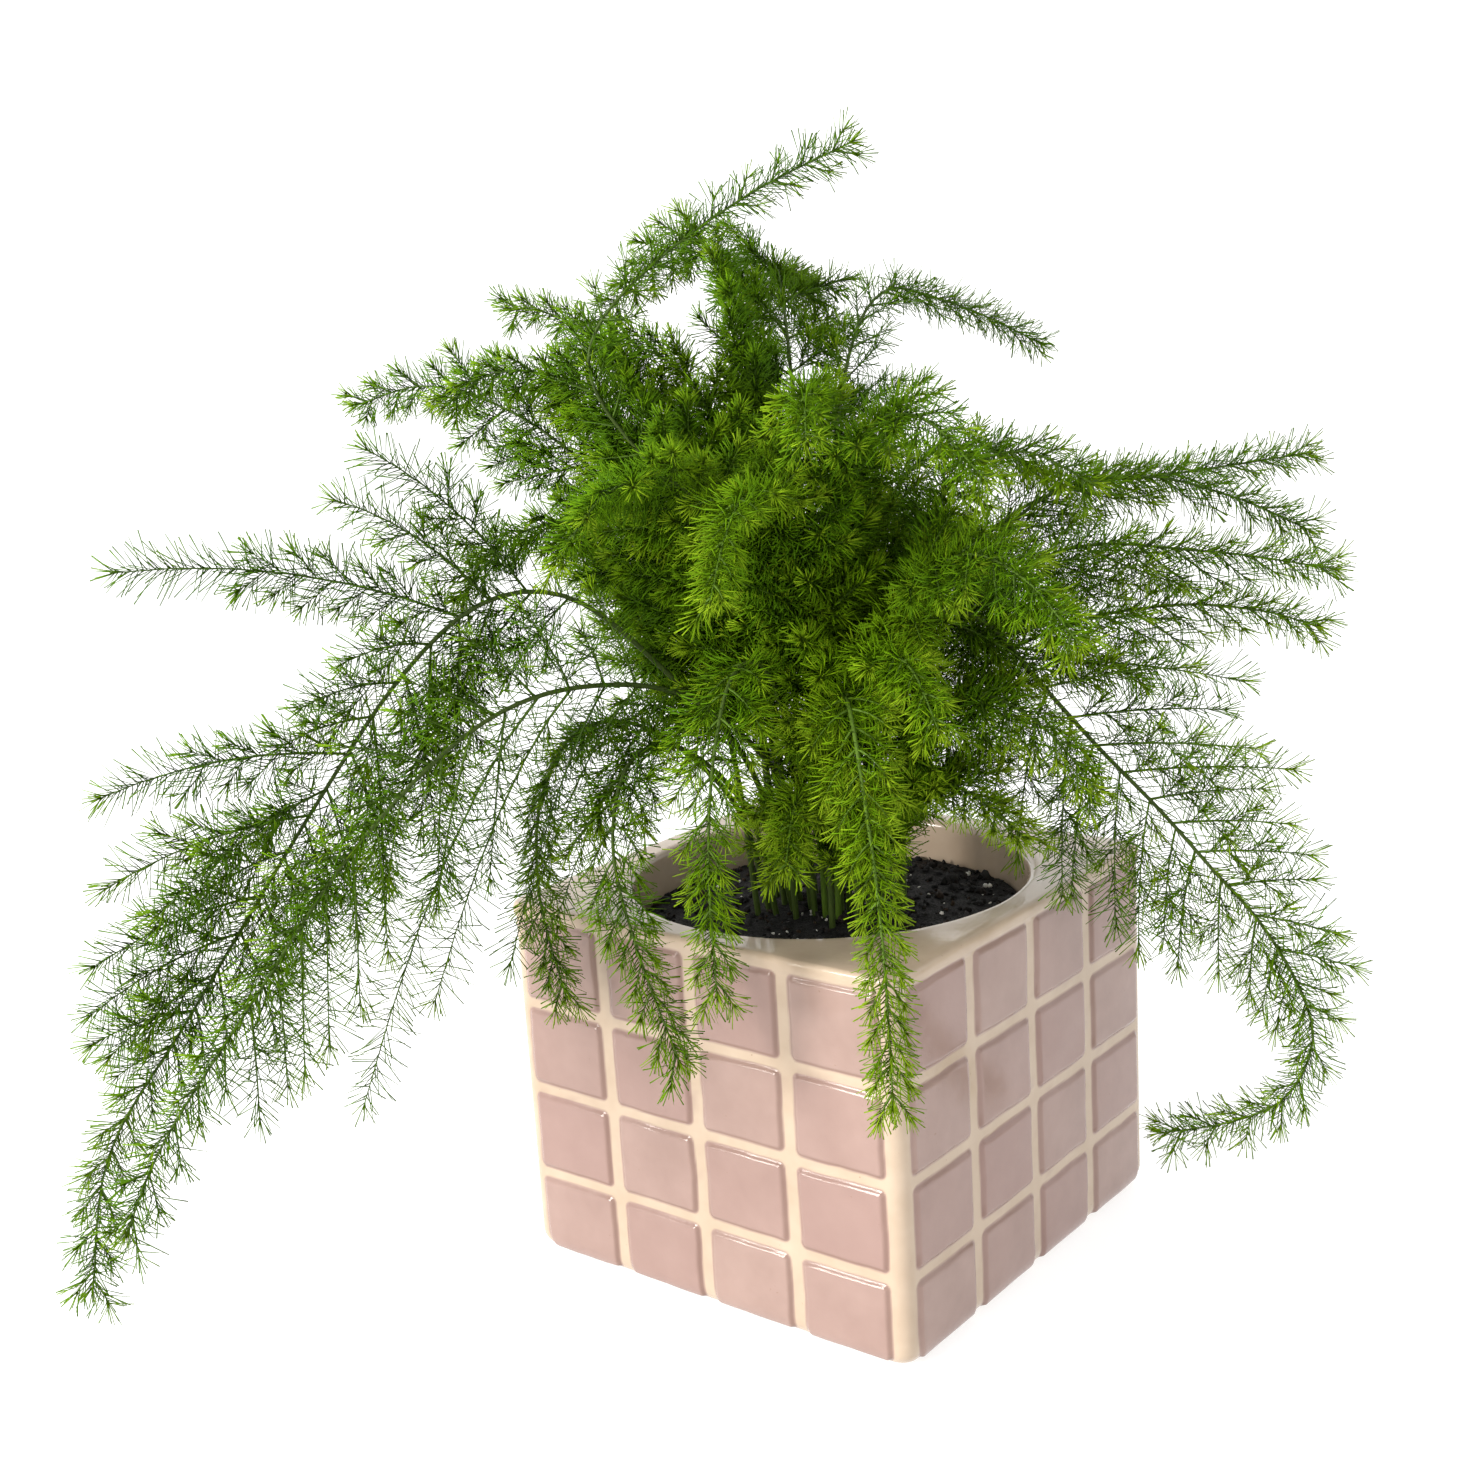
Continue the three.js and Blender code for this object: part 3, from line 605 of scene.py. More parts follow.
def ramp(tree, value, stops):
    """A colour ramp with a colour, or a single number, at each place."""
    node = add_node(tree, "ShaderNodeValToRGB", _0=value)
    elements = node.color_ramp.elements
    while len(elements) < len(stops):
        elements.new(0.5)
    for element, (place, colour) in zip(elements, stops):
        element.position = place
        element.color = (*colour, 1) if np.ndim(colour) else (colour, colour, colour, 1)
    return node.outputs["Color"]


def mix(tree, factor, first, second, blend="MIX"):
    node = add_node(tree, "ShaderNodeMix", {"data_type": "RGBA", "blend_type": blend})
    for socket, value in ((node.inputs[0], factor), (node.inputs[6], first),
                          (node.inputs[7], second)):
        if isinstance(value, bpy.types.NodeSocket):
            tree.links.new(value, socket)
        else:
            socket.default_value = value if np.ndim(value) == 0 else (*value, 1)
    return node.outputs[2]


def moved(tree, value, start, end):
    """The value moved from one range to another, and held inside it."""
    return add_node(tree, "ShaderNodeMapRange", _0=value, _1=start[0], _2=start[1], _3=end[0],
                    _4=end[1]).outputs[0]


def tints(tree):
    read = add_node(tree, "ShaderNodeAttribute", {"attribute_name": "tint"})
    return add_node(tree, "ShaderNodeSeparateColor", _0=read.outputs["Color"]).outputs


def link(tree, value, shader, name):
    tree.links.new(value, shader.inputs[name])


def fix(shader, **values):
    """Numbers and colours that are the same all over the surface."""
    for name, value in values.items():
        shader.inputs[name.replace("_", " ")].default_value = value


def add_bump(tree, shader, height, strength, distance):
    bump = add_node(tree, "ShaderNodeBump", Strength=strength, Distance=distance * MM,
                    Height=height)
    link(tree, bump.outputs["Normal"], shader, "Normal")


def glaze_material():
    """Glossy glaze: pink on the tiles, cream in the grout lines, on the rim and inside. The tint
    holds how pink it is, how dark its tile's edge band is, and the tile's own shade. The edge band
    is the glaze's darker edge, faint all round, and painted shade along each tile's lower and
    right edges."""
    material, tree, shader = new_material("glaze")
    pink_share, edge, shade = tints(tree)[:3]
    cloudy = noise_node(tree, scale=0.09, detail=3, roughness=0.6)
    fine = noise_node(tree, scale=0.9, detail=2)
    pink = ramp(tree, cloudy, COLOURS["pink"])
    pink = mix(tree, moved(tree, shade, (0, 1), (0, 0.5)), pink, COLOURS["pink_shade"])
    # The edge band: the glaze's own darker edge all round, and painted shade along each tile's
    # lower and right edges.
    pink = mix(tree, moved(tree, edge, (0, 1), (0, 0.4)), pink, COLOURS["pink_edge_and_painted_shade"])
    colour = mix(tree, pink_share, ramp(tree, cloudy, COLOURS["cream"]), pink)
    specks = moved(tree, noise_node(tree, scale=1.3, detail=1), (0.79, 0.83), (0, 0.6))
    link(tree, mix(tree, specks, colour, COLOURS["speck"]), shader, "Base Color")
    link(tree, moved(tree, fine, (0.3, 0.7), (0.12, 0.24)), shader, "Roughness")
    fix(shader, Coat_Weight=0.3, Coat_Roughness=0.06, Specular_IOR_Level=0.2)
    add_bump(tree, shader, mix(tree, 0.5, fine, cloudy), strength=0.25, distance=0.25)
    return material


def grainy_material(name, scale, detail, roughness, strength, distance):
    """A dry, rough surface with a grain of its own: unglazed clay, or perlite."""
    material, tree, shader = new_material(name)
    grain = noise_node(tree, scale, detail)
    link(tree, ramp(tree, grain, COLOURS[name]), shader, "Base Color")
    fix(shader, Roughness=roughness)
    add_bump(tree, shader, grain, strength, distance)
    return material


def biscuit_material():
    return grainy_material("biscuit", scale=1.5, detail=4, roughness=0.85, strength=0.4,
                           distance=0.1)


def perlite_material():
    return grainy_material("perlite", scale=3, detail=3, roughness=0.9, strength=0.8,
                           distance=0.2)


def soil_material():
    """Damp, nearly black potting mix. The tint's red is the crumb's own shade and its green how
    brown it is."""
    material, tree, shader = new_material("potting_mix")
    shade, brown = tints(tree)[:2]
    grain = noise_node(tree, scale=2.2, detail=4, roughness=0.65)
    black, fibre = (ramp(tree, grain, COLOURS[name]) for name in ("soil", "fibre"))
    colour = mix(tree, shade, mix(tree, brown, black, fibre), COLOURS["crumb"])
    link(tree, colour, shader, "Base Color")
    link(tree, moved(tree, grain, (0.3, 0.7), (0.95, 0.6)), shader, "Roughness")
    fix(shader, Specular_IOR_Level=0.15)
    add_bump(tree, shader, grain, strength=0.8, distance=0.3)
    return material




def stem_material():
    """Wiry stems. The tint's red is young growth, its green the branch's shade, and its blue how
    woody it is."""
    material, tree, shader = new_material("stem")
    young, shade, woody = tints(tree)[:3]
    streaks = noise_node(tree, scale=2.5, detail=3, roughness=0.6, stretch=(1, 1, 0.2))
    green, bark = ramp(tree, young, COLOURS["stem"]), ramp(tree, streaks, COLOURS["bark"])
    dark = moved(tree, streaks, (0.3, 0.7), (0, 0.35))
    colour = mix(tree, dark, mix(tree, woody, green, bark), COLOURS["bark_dark"])
    link(tree, colour, shader, "Base Color")
    link(tree, moved(tree, shade, (0, 1), (0.5, 0.65)), shader, "Roughness")
    fix(shader, Specular_IOR_Level=0.2)
    add_bump(tree, shader, streaks, strength=0.5, distance=0.08)
    return material


def needle_material():
    """Soft needles, deep green where old and yellow-green where young, as the tint's red says.
    Its green is the shade of the whole branch, and its blue the needle's own."""
    material, tree, shader = new_material("needles")
    young, shade, own = tints(tree)[:3]
    colour = ramp(tree, young, COLOURS["needle"])
    shaded = moved(tree, shade, (0, 1), (0.2, 0))
    colour = mix(tree, shaded, colour, COLOURS["needle_shade"])
    patches = moved(tree, noise_node(tree, scale=0.045, detail=2), (0.5, 0.66), (0, 0.35))
    colour = mix(tree, patches, colour, COLOURS["needle_patch"])
    colour = mix(tree, 1.0, colour, ramp(tree, own, COLOURS["needle_own"]), "MULTIPLY")
    link(tree, colour, shader, "Base Color")
    fix(shader, Roughness=0.6, Specular_IOR_Level=0.05)
    return material


def floor_material():
    material, tree, shader = new_material("floor")
    soft = noise_node(tree, scale=0.004, detail=2)
    link(tree, ramp(tree, soft, COLOURS["floor"]), shader, "Base Color")
    fix(shader, Roughness=0.9, Specular_IOR_Level=0.1, Emission_Color=(1, 1, 1, 1),
        Emission_Strength=STAGE["glow"])
    return material


# Pot


def spans(lines, low, high, gap):
    """The stretches between the grout lines, from one outer edge to the other."""
    edges = [low] + [line + part for line in lines for part in (-gap / 2, gap / 2)] + [high]
    return list(zip(edges[::2], edges[1::2]))


def tile_columns():
    return spans([-TILE["across"], 0, TILE["across"]], -TILE["edge"], TILE["edge"],
                 TILE["grout_across"])


def tile_rows():
    lines = [TILE["middle"] + step * TILE["up"] for step in (-1, 0, 1)]
    return spans(lines, TILE["foot"], TILE["top"], TILE["grout_up"])


def grid_marks(stretches, low, high):
    """Places for the mesh's lines, close together on the slopes at the tiles' edges."""
    marks = [np.array([low, high])]
    for start, end in stretches:
        inner = np.linspace(start + TILE["band"], end - TILE["band"], TILE["marks"])
        marks += [start + SLOPE_MARKS, end - SLOPE_MARKS, inner]
    return np.unique(np.round(np.concatenate(marks).clip(low, high), 3))


def tile_relief(across, height, side):
    """How far each place of one side stands out, how pink it is, how dark its tile's edge band is
    and its tile's shade. The edge band is the glaze's darker edge, faint all round, with painted
    shade at full strength along the lower and right edges. The edges waver a little, as in
    hand-pressed clay."""
    places = np.stack([across, height, np.full_like(across, side * TILE["side_step"])], -1)
    across = relief(places, TILE["waver_across"], across)
    height = relief(places, TILE["waver_up"], height)
    out, pink, edge, shade = (np.zeros_like(across) for _ in range(4))
    rounding, wide = TILE["round"], TILE["band"]
    rising, falling = TILE["line"]
    for column, (left, right) in enumerate(tile_columns()):
        for row, (bottom, top) in enumerate(tile_rows()):
            off_x = abs(across - (left + right) / 2) - (right - left) / 2 + rounding
            off_z = abs(height - (bottom + top) / 2) - (top - bottom) / 2 + rounding
            outside = np.hypot(off_x.clip(0), off_z.clip(0)) - rounding
            inside = -(outside + np.minimum(np.maximum(off_x, off_z), 0))
            here = inside > -0.5
            crown = TILE["crown"] * smooth(0, TILE["crown_reach"], inside)
            rise = TILE["proud"] * smooth(0, TILE["slope"], inside) + crown
            out[here] = rise[here]
            # Painted shade: the edge band is at full strength along each tile's lower and right
            # edges, and faint on the others.
            painted_shade_edges = ((across > right - wide) | (height < bottom + wide)) & (inside < wide)
            pink[here] = smooth(*TILE["pink"], inside)[here]
            band = smooth(*rising, inside) * (1 - smooth(*falling, inside))
            edge[here] = (band * np.where(painted_shade_edges, 1, TILE["faint"]))[here]
            step = (side * 7 + column * 3 + row * 5) % TILE["shades"]
            shade[here] = step / (TILE["shades"] - 1)
    return out + relief(places, TILE["wave"]) * pink, pink, edge, shade


def wall_profile(height):
    """Half the width of the wall between the tiles at a height, and how far up it faces."""
    foot = POT["foot"]
    turn = math.acos(min(1, max(0, (foot - height) / foot)))
    low, high = (POT["rim_low"] + part for part in POT["rim_slope"])
    rim = smooth(low, high, height) * POT["rim_out"]
    return POT["half"] - foot + foot * math.sin(turn) + rim, -math.cos(turn)


def wall_ring(height, marks):
    """One ring of the outer wall, as a rounded square, with its relief and tints."""
    half, down = wall_profile(height)
    level = math.sqrt(1 - down * down)
    corner, straight = POT["corner"], POT["straight"]
    flat, widest = half - corner, POT["half"] - corner
    size = abs(marks)
    bent = straight + (size - straight) * (flat - straight) / (widest - straight)
    across = np.sign(marks) * np.where(size < straight, size, bent)
    turns = np.linspace(0, math.pi / 2, POT["corner_steps"])[1:-1]
    points, tint = [], []
    for side in range(4):
        out, pink, edge, shade = tile_relief(marks, np.full_like(marks, height), side)
        x = np.concatenate([half + out * level, flat + corner * np.cos(turns)])
        y = np.concatenate([across, flat + corner * np.sin(turns)])
        z = np.concatenate([height + out * down, np.full(len(turns), height)])
        cos, sin = [(1, 0), (0, 1), (-1, 0), (0, -1)][side]
        points.append(np.stack([x * cos - y * sin, x * sin + y * cos, z], -1))
        rows = np.stack([pink, edge, shade], -1)
        tint.append(np.concatenate([rows, np.zeros((len(turns), 3))]))
    return np.concatenate(points), np.concatenate(tint)


def circle_like(ring, radius, height):
    """A circle with one point in the direction of each point of the ring."""
    level = ring * (1, 1, 0)
    return unit(level) * radius + UP * height


def rim_rings(top):
    """The rim from the wall's top ring: its rounded edge, its flat top and its rounded lip."""
    middle = unit(top * (1, 1, 0))
    edge, lip, opening, height = (POT[name] for name in ("rim_edge", "lip", "opening", "rim_top"))
    rings = [top - middle * edge * (1 - math.cos(turn)) + UP * edge * math.sin(turn)
             for turn in QUARTER]
    outer = rings[-1]
    inner = circle_like(outer, opening + lip, height)
    rings += [outer + (inner - outer) * part for part in POT["rim_parts"]]
    rings += [circle_like(outer, opening + lip - lip * math.sin(turn),
                          height - lip + lip * math.cos(turn)) for turn in QUARTER]
    uneven = relief(np.concatenate(rings), POT["rim_waver"]).reshape(len(rings), -1, 1)
    return list(np.array(rings) + uneven * UP), outer


def inside_rings(outer):
    """The tapered inside, down to the curve where it meets the floor."""
    floor, top, curve = POT["floor"], POT["rim_top"], POT["floor_curve"]
    rings = []
    for height in (*POT["inside"], floor + curve):
        taper = POT["taper"] * (1 - (height - floor) / (top - floor))
        rings.append(circle_like(outer, POT["opening"] - taper, height))
    return rings + [circle_like(outer, POT["opening"] - POT["taper"] - curve, floor)]


def pot_shape():
    edge = POT["half"] - POT["corner"]
    marks = grid_marks(tile_columns(), -edge, edge)
    rows = grid_marks(tile_rows(), 0.0, POT["rim_top"] - POT["rim_edge"])
    rows = np.unique(np.concatenate([rows, POT["extra_rows"]]))
    walls, tint = map(list, zip(*(wall_ring(height, marks) for height in rows)))
    rim, outer = rim_rings(walls[-1])
    rings = walls + rim + inside_rings(outer)
    sides = len(walls[0])
    cream = np.zeros((sides, 3))
    tint += [cream] * (len(rings) - len(tint)) + [cream[:2]]

    points = np.concatenate([*rings, [[0, 0, POT["floor"]], [0, 0, 0]]])
    start, end = round_rows(sides)
    last = (len(rings) - 1) * sides
    inside = fan(last + start, last + end, len(points) - 2)
    shape = Shape()
    shape.add(points, np.concatenate([ring_faces(len(rings), sides), inside]),
              np.concatenate(tint), GLAZE)
    shape.add_faces(fan(end, start, len(points) - 1), BISCUIT)
    return shape


# Potting mix


def ball(fine):
    """The points and triangles of an icosahedron, with each side halved where fine."""
    made = bmesh.new()
    bmesh.ops.create_icosphere(made, subdivisions=2 if fine else 1, radius=1)
    points = np.array([vertex.co[:] for vertex in made.verts])
    triangles = np.array([[vertex.index for vertex in face.verts] for face in made.faces])
    made.free()
    return points, triangles


def soil_height(x, y):
    radius = np.hypot(x, y) / SOIL["radius"]
    places = np.stack([x, y, np.zeros_like(x)], -1)
    lumps, grain = relief(places, SOIL["lumps"]), relief(places, SOIL["grain"])
    return SOIL["level"] + SOIL["mound"] * (1 - radius ** 2) + lumps + grain


def crumb_tint(look, rng):
    """A crumb's own shade and how brown it is."""
    if look == "perlite":
        return 1, 0, 0
    if look == "bark":
        return 0.1, rng.uniform(0.6, 1), 0
    return rng.random() ** 3 * 0.8, rng.random() ** 4, 0


def add_crumbs(shape, rng, count, size, stretch, look, fine=False, sink=0.3):
    """Crumbs scattered over the potting mix, each pulled out of round and turned at random."""
    points, triangles = ball(fine)
    reach = SOIL["radius"] - CRUMB["clear"]
    for _ in range(count):
        radius = SOIL["radius"] * CRUMB["within"] * math.sqrt(rng.random())
        turn = rng.random() * 2 * math.pi
        x, y = radius * math.cos(turn), radius * math.sin(turn)
        big = rng.uniform(*size) / 2
        scale = big * np.array([rng.uniform(*stretch), rng.uniform(*CRUMB["deep"]),
                                rng.uniform(*CRUMB["high"])])
        lumpy = points * (1 + CRUMB["uneven"] * rng.standard_normal((len(points), 1)))
        spin = Matrix.Rotation(rng.random() * CRUMB["spin"], 3, rng.standard_normal(3))
        placed = (lumpy * scale) @ np.array(spin).T + (x, y, 0)
        far = np.hypot(placed[:, 0], placed[:, 1])
        placed[:, :2] *= np.minimum(1, reach / np.maximum(far, 1e-6))[:, None]
        ground = soil_height(np.array([x]), np.array([y]))[0]
        lift = ground + big * (1 - 2 * sink) * CRUMB["rise"]
        kind = PERLITE if look == "perlite" else MIX
        shape.add(placed + UP * lift, triangles, crumb_tint(look, rng), kind)


def soil_shape():
    cos, sin = round_places(SOIL["sides"])
    rings = []
    for inset, height in SOIL["under"]:
        radius = SOIL["radius"] - inset
        low = np.full(len(cos), SOIL["bottom"] + height)
        rings.append(np.stack([radius * cos, radius * sin, low], -1))
    for part in np.linspace(1, SOIL["innermost"], SOIL["rings"]):
        x, y = SOIL["radius"] * part * cos, SOIL["radius"] * part * sin
        rings.append(np.stack([x, y, soil_height(x, y)], -1))
    points = np.concatenate([*rings, [[0, 0, rings[-1][:, 2].mean()], [0, 0, SOIL["bottom"]]]])
    start, end = round_rows(len(cos))
    last = (len(rings) - 1) * len(cos)
    caps = [fan(last + start, last + end, len(points) - 2), fan(end, start, len(points) - 1)]
    faces = np.concatenate([ring_faces(len(rings), len(cos)), *caps])
    shape = Shape()
    shape.add(points, faces, (0, 0, 0), MIX)
    rng = np.random.default_rng(SOIL["seed"])
    for row in CRUMBS:
        add_crumbs(shape, rng, **row)
    return shape


# Fronds


class Line:
    """A smooth line through points, read by the share of its length."""

    def __init__(self, points):
        self.points = np.asarray(points, float)
        steps = np.linalg.norm(np.diff(self.points, axis=0), axis=1)
        self.reach = np.concatenate([[0], np.cumsum(steps)])
        self.length = self.reach[-1]
        self.tangents = unit(np.gradient(self.points, self.reach, axis=0))

    def read(self, values, parts):
        wanted = np.asarray(parts) * self.length
        return np.stack([np.interp(wanted, self.reach, axis) for axis in values.T], -1)

    def at(self, parts):
        return self.read(self.points, parts)

    def along(self, parts):
        return unit(self.read(self.tangents, parts))

    def part(self, start, end):
        return Line(self.at(np.linspace(start, end, TRUNK["points"])))


def stem_line(frond):
    """The stem's curve from the soil to its tip, as a Catmull-Rom spline through its arch."""
    last = len(frond["arch"]) - 1
    knots = []
    for i, (reach, height) in enumerate(frond["arch"]):
        turn = math.radians(frond["heading"] + frond.get("swing", 0) * i / last)
        knots.append((reach * math.cos(turn), reach * math.sin(turn), SOIL["level"] + height))
    knots = np.array(knots)
    knots = np.concatenate([[2 * knots[0] - knots[1]], knots, [2 * knots[-1] - knots[-2]]])
    points = []
    for i in range(1, last + 1):
        before, start, end, after = knots[i - 1:i + 3]
        leave, arrive = (end - before) / 2, (after - start) / 2
        for t in np.arange(0, 1, STEM["step"]):
            points.append((2 * t**3 - 3 * t**2 + 1) * start + (t**3 - 2 * t**2 + t) * leave
                          + (3 * t**2 - 2 * t**3) * end + (t**3 - t**2) * arrive)
    points.append(knots[-2])
    return Line(points)


def branches_of(frond, stem, seed):
    """Every branch of a frond, by the same rule as in the part's source, and after each one a
    slightly shorter one on the same side."""
    draw = seeded(seed)
    count, trim = frond["count"], frond.get("trim", {})
    branches = []
    for k in range(count):
        along = (k + 0.5 + BRANCH["uneven"] * (draw() - 0.5)) / count
        vary, lean, turn = (BRANCH[name] * (draw() - 0.5) for name in ("vary", "lean", "turn"))
        upper = k % 2
        own = trim.get(k, 1)
        between = BRANCH["between"] * min(own, trim.get(k + 2, 1))
        branches.append(one_branch(frond, stem, upper, along, own * (1 + vary), lean, turn))
        if along + 1 / count < 1:
            branches.append(one_branch(frond, stem, upper, along + 1 / count,
                                       between * (1 - vary), -lean, -turn))
    return branches


def one_branch(frond, stem, upper, along, share, lean, turn):
    """A branch that leaves its stem part of the way along the leafy stretch."""
    end, power = frond.get("fade", (1, 1.1))
    first, grows = BRANCH["near"]
    at = frond["bare"] + (1 - frond["bare"]) * along
    part = min(1, first + along / grows) * max(0, 1 - along / end) ** power
    length = max(frond["spread"][1 - upper] * part * share, BRANCH["shortest"])
    angle = frond.get("angle", BRANCH["angle"]) + lean - BRANCH["closing"] * along
    roll = math.radians(frond["roll"] + turn)
    tangent = stem.along(at)
    level = side_of(tangent)
    plane = np.cross(level, tangent) * math.cos(roll) + level * math.sin(roll)
    direction = rotated(tangent, plane, (1 if upper else -1) * angle)
    v = np.linspace(0, 1, BRANCH["rings"])[:, None]
    points = (stem.at(at) + direction * length * (v - BRANCH["curl"] * v * v)
              + tangent * length * BRANCH["forward"] * v * v
              - UP * length * frond["sag"][1 - upper] * v * v)
    return Line(points), plane


def twigs_of(line, plane, full, rng):
    """Short alternate twigs on the inner part of a branch, longest near its root."""
    twigs, side = [], 1
    longest = min(TWIG["longest"] * full ** 2, TWIG["longest_full"])
    reach = TWIG["from"] + rng.uniform(0, TWIG["from_vary"])
    while reach < line.length * TWIG["reach"]:
        share = TWIG["share"] * (line.length - reach)
        length = min(share, longest) * rng.uniform(*TWIG["share_vary"])
        if length > TWIG["shortest"]:
            at = reach / line.length
            tangent = line.along(at)
            tilt = rotated(plane, tangent, rng.normal(0, TWIG["tilt"]))
            angle = side * TWIG["angle"] + rng.normal(0, TWIG["angle_vary"])
            direction = rotated(tangent, unit(tilt), angle)
            v = np.linspace(0, 1, TWIG["rings"])[:, None]
            points = (line.at(at) + direction * length * (v - TWIG["curl"] * v * v)
                      + tangent * length * TWIG["forward"] * v * v
                      - UP * length * TWIG["droop"] * v * v)
            if not hits_pot(points, CLEAR).any():
                twigs.append(Line(points))
        side = -side
        reach += TWIG["gap"] / full * rng.uniform(*TWIG["gap_vary"])
    return twigs


def hits_pot(points, margin):
    """True for each point inside the pot's walls or the potting mix, or nearly so."""
    points = np.asarray(points)
    widest = POT["half"] + TILE["proud"] + margin
    square = (np.abs(points[:, :2]).max(1) < widest) & (points[:, 2] < POT["rim_top"] + margin)
    radius = np.hypot(points[:, 0], points[:, 1])
    over_soil = points[:, 2] > SOIL["level"] + SOIL["clear"]
    in_opening = (radius < POT["opening"] - margin) & over_soil
    return (square & ~in_opening) | (points[:, 2] < margin)


def needles_on(line, start, youth, rng, full=1.0):
    """Needles along a line from a share of its length to its tip: their roots, directions,
    lengths and tones. full says how close together they are."""
    length = line.length * (1 - start)
    spaced = round(length * min(full, NEEDLE["densest"]) / NEEDLE["gap"])
    count = max(NEEDLE["fewest"], spaced)
    parts = start + (1 - start) * (np.arange(count) + rng.uniform(0, 1, count)) / count
    parts = np.append(parts, np.full(NEEDLE["at_tip"], NEEDLE["tip_place"]))
    every = len(parts)
    roots, tangents = line.at(parts), line.along(parts)
    level = unit(np.cross(tangents, UP) + 1e-6)
    above = np.cross(level, tangents)
    turn = (np.arange(every) * GOLDEN + rng.normal(0, NEEDLE["turn_vary"], every)
            + rng.random() * NEEDLE["turn_start"])
    tip = 1 - smooth(0, NEEDLE["tip"], (1 - parts) * line.length)
    angle = np.radians(NEEDLE["angle"] + rng.normal(0, NEEDLE["angle_vary"], every)
                       - NEEDLE["close"] * tip)
    outward = level * np.cos(turn)[:, None] + above * np.sin(turn)[:, None]
    direction = tangents * np.cos(angle)[:, None] + outward * np.sin(angle)[:, None]
    size = NEEDLE["length"] * (1 - NEEDLE["crowded_shorter"] * crowded(full))
    long = (size * rng.uniform(*NEEDLE["length_vary"], every)
            * (1 - NEEDLE["tip_shorter"] * tip))
    tone = youth + NEEDLE["tip_youth"] * tip + rng.normal(0, NEEDLE["tone_vary"], every)
    return roots, direction, long, np.clip(tone, 0, 1)


def crowded(full):
    """How far a frond of this fullness belongs to the clump's crowded middle, from 0 to 1."""
    return smooth(*NEEDLE["crowded"], full)


def add_needles(shape, batch, shade, rng, full=1.0):
    """Straight needles of four faces each, with an edge at the root and one across it at the
    tip, so that each is about as wide all the way along."""
    roots, direction, long, tone = batch
    tips = roots + direction * long[:, None]
    clear = ~(hits_pot(tips, NEEDLE["clear"]) | hits_pot((roots + tips) / 2, NEEDLE["clear"]))
    roots, direction, tips, tone = (values[clear] for values in (roots, direction, tips, tone))
    if not len(roots):
        return
    turn = rng.uniform(0, 2 * math.pi, len(roots))[:, None]
    level = unit(np.cross(direction, UP + 1e-3))
    side = level * np.cos(turn) + np.cross(direction, level) * np.sin(turn)
    across = np.cross(direction, side)
    width = NEEDLE["width"] * (1 + NEEDLE["crowded_wider"] * crowded(full))
    half = width / 2 * rng.uniform(*NEEDLE["width_vary"], len(roots))[:, None]
    corners = [roots - side * half, roots + side * half, tips - across * half,
               tips + across * half]
    points = np.stack(corners, 1).reshape(-1, 3)
    one = np.array([[0, 1, 2], [0, 3, 1], [2, 3, 0], [2, 1, 3]])
    faces = (np.arange(len(roots)) * 4)[:, None, None] + one
    own = rng.random(len(roots))
    tint = np.repeat(np.stack([tone, np.full(len(tone), shade), own], -1), 4, axis=0)
    shape.add(points, faces, tint, LEAF)


def taper(size, count):
    return size["root"] + (size["tip"] - size["root"]) * np.linspace(0, 1, count)


def add_twigs(shape, line, plane, youth, tint, rng, full, needles_full):
    """A branch's twigs with their needles."""
    for twig in twigs_of(line, plane, full, rng):
        add_tube(shape, twig.points, TWIG, taper(TWIG, TWIG["rings"]), tint)
        batch = needles_on(twig, TWIG["bare"], youth, rng, needles_full)
        add_needles(shape, batch, tint[1], rng, needles_full)


def add_stem(shape, frond, stem):
    """The bare stem, woody below and green above, that stands in the potting mix."""
    parts = np.linspace(0, 1, STEM["rings"])
    centres = stem.at(parts)
    centres = np.concatenate([[centres[0] - UP * STEM["buried"]], centres])
    woody = np.repeat(np.append(0, 1 - smooth(*STEM["bark"], parts)), STEM["sides"])
    woody = np.append(woody, (1, 0))
    woody *= 1 - STEM["young_bark"] * smooth(*STEM["young"], frond["youth"])
    same = np.ones(len(woody))
    tint = np.stack([same * frond["youth"], same * STEM["shade"], woody], -1)
    add_tube(shape, centres, STEM, np.append(STEM["root"], taper(STEM, STEM["rings"])), tint)


def add_trunk_leaves(shape, frond, stem, rng):
    """Needles and short twigs on the lower stem of a frond in the middle of the clump."""
    line = stem.part(frond["low"], frond["bare"])
    plane = unit(np.cross(line.tangents[0], (math.cos(rng.random() * 6), 1, 0)))
    youth, shade = frond["youth"], TRUNK["shade"]
    add_needles(shape, needles_on(line, 0, youth, rng, TRUNK["full"]), shade, rng)
    for turn in TRUNK["turns"]:
        turned = rotated(plane, line.tangents[0], turn)
        tint = (youth, shade, BRANCH["woody"])
        add_twigs(shape, line, turned, youth, tint, rng, TRUNK["twigs"], 1.0)


def add_branch(shape, line, plane, frond_youth, rng, full):
    """A branch with its needles and twigs, cut short where it would meet the pot."""
    shade = rng.random()
    youth = frond_youth + rng.normal(0, BRANCH["youth"])
    hits = hits_pot(line.points, CLEAR)
    if hits.any():
        keep = int(np.argmax(hits))
        if keep < BRANCH["fewest"]:
            return
        line = Line(line.points[:keep])
    tint = (np.clip(youth, 0, 1), shade, BRANCH["woody"])
    add_tube(shape, line.points, BRANCH, taper(BRANCH, len(line.points)), tint)
    share, longest = BRANCH["bare"]
    start = min(share, longest / line.length)
    add_needles(shape, needles_on(line, start, youth, rng, full), shade, rng, full)
    add_twigs(shape, line, plane, youth - TWIG["older"], tint, rng, full, full)


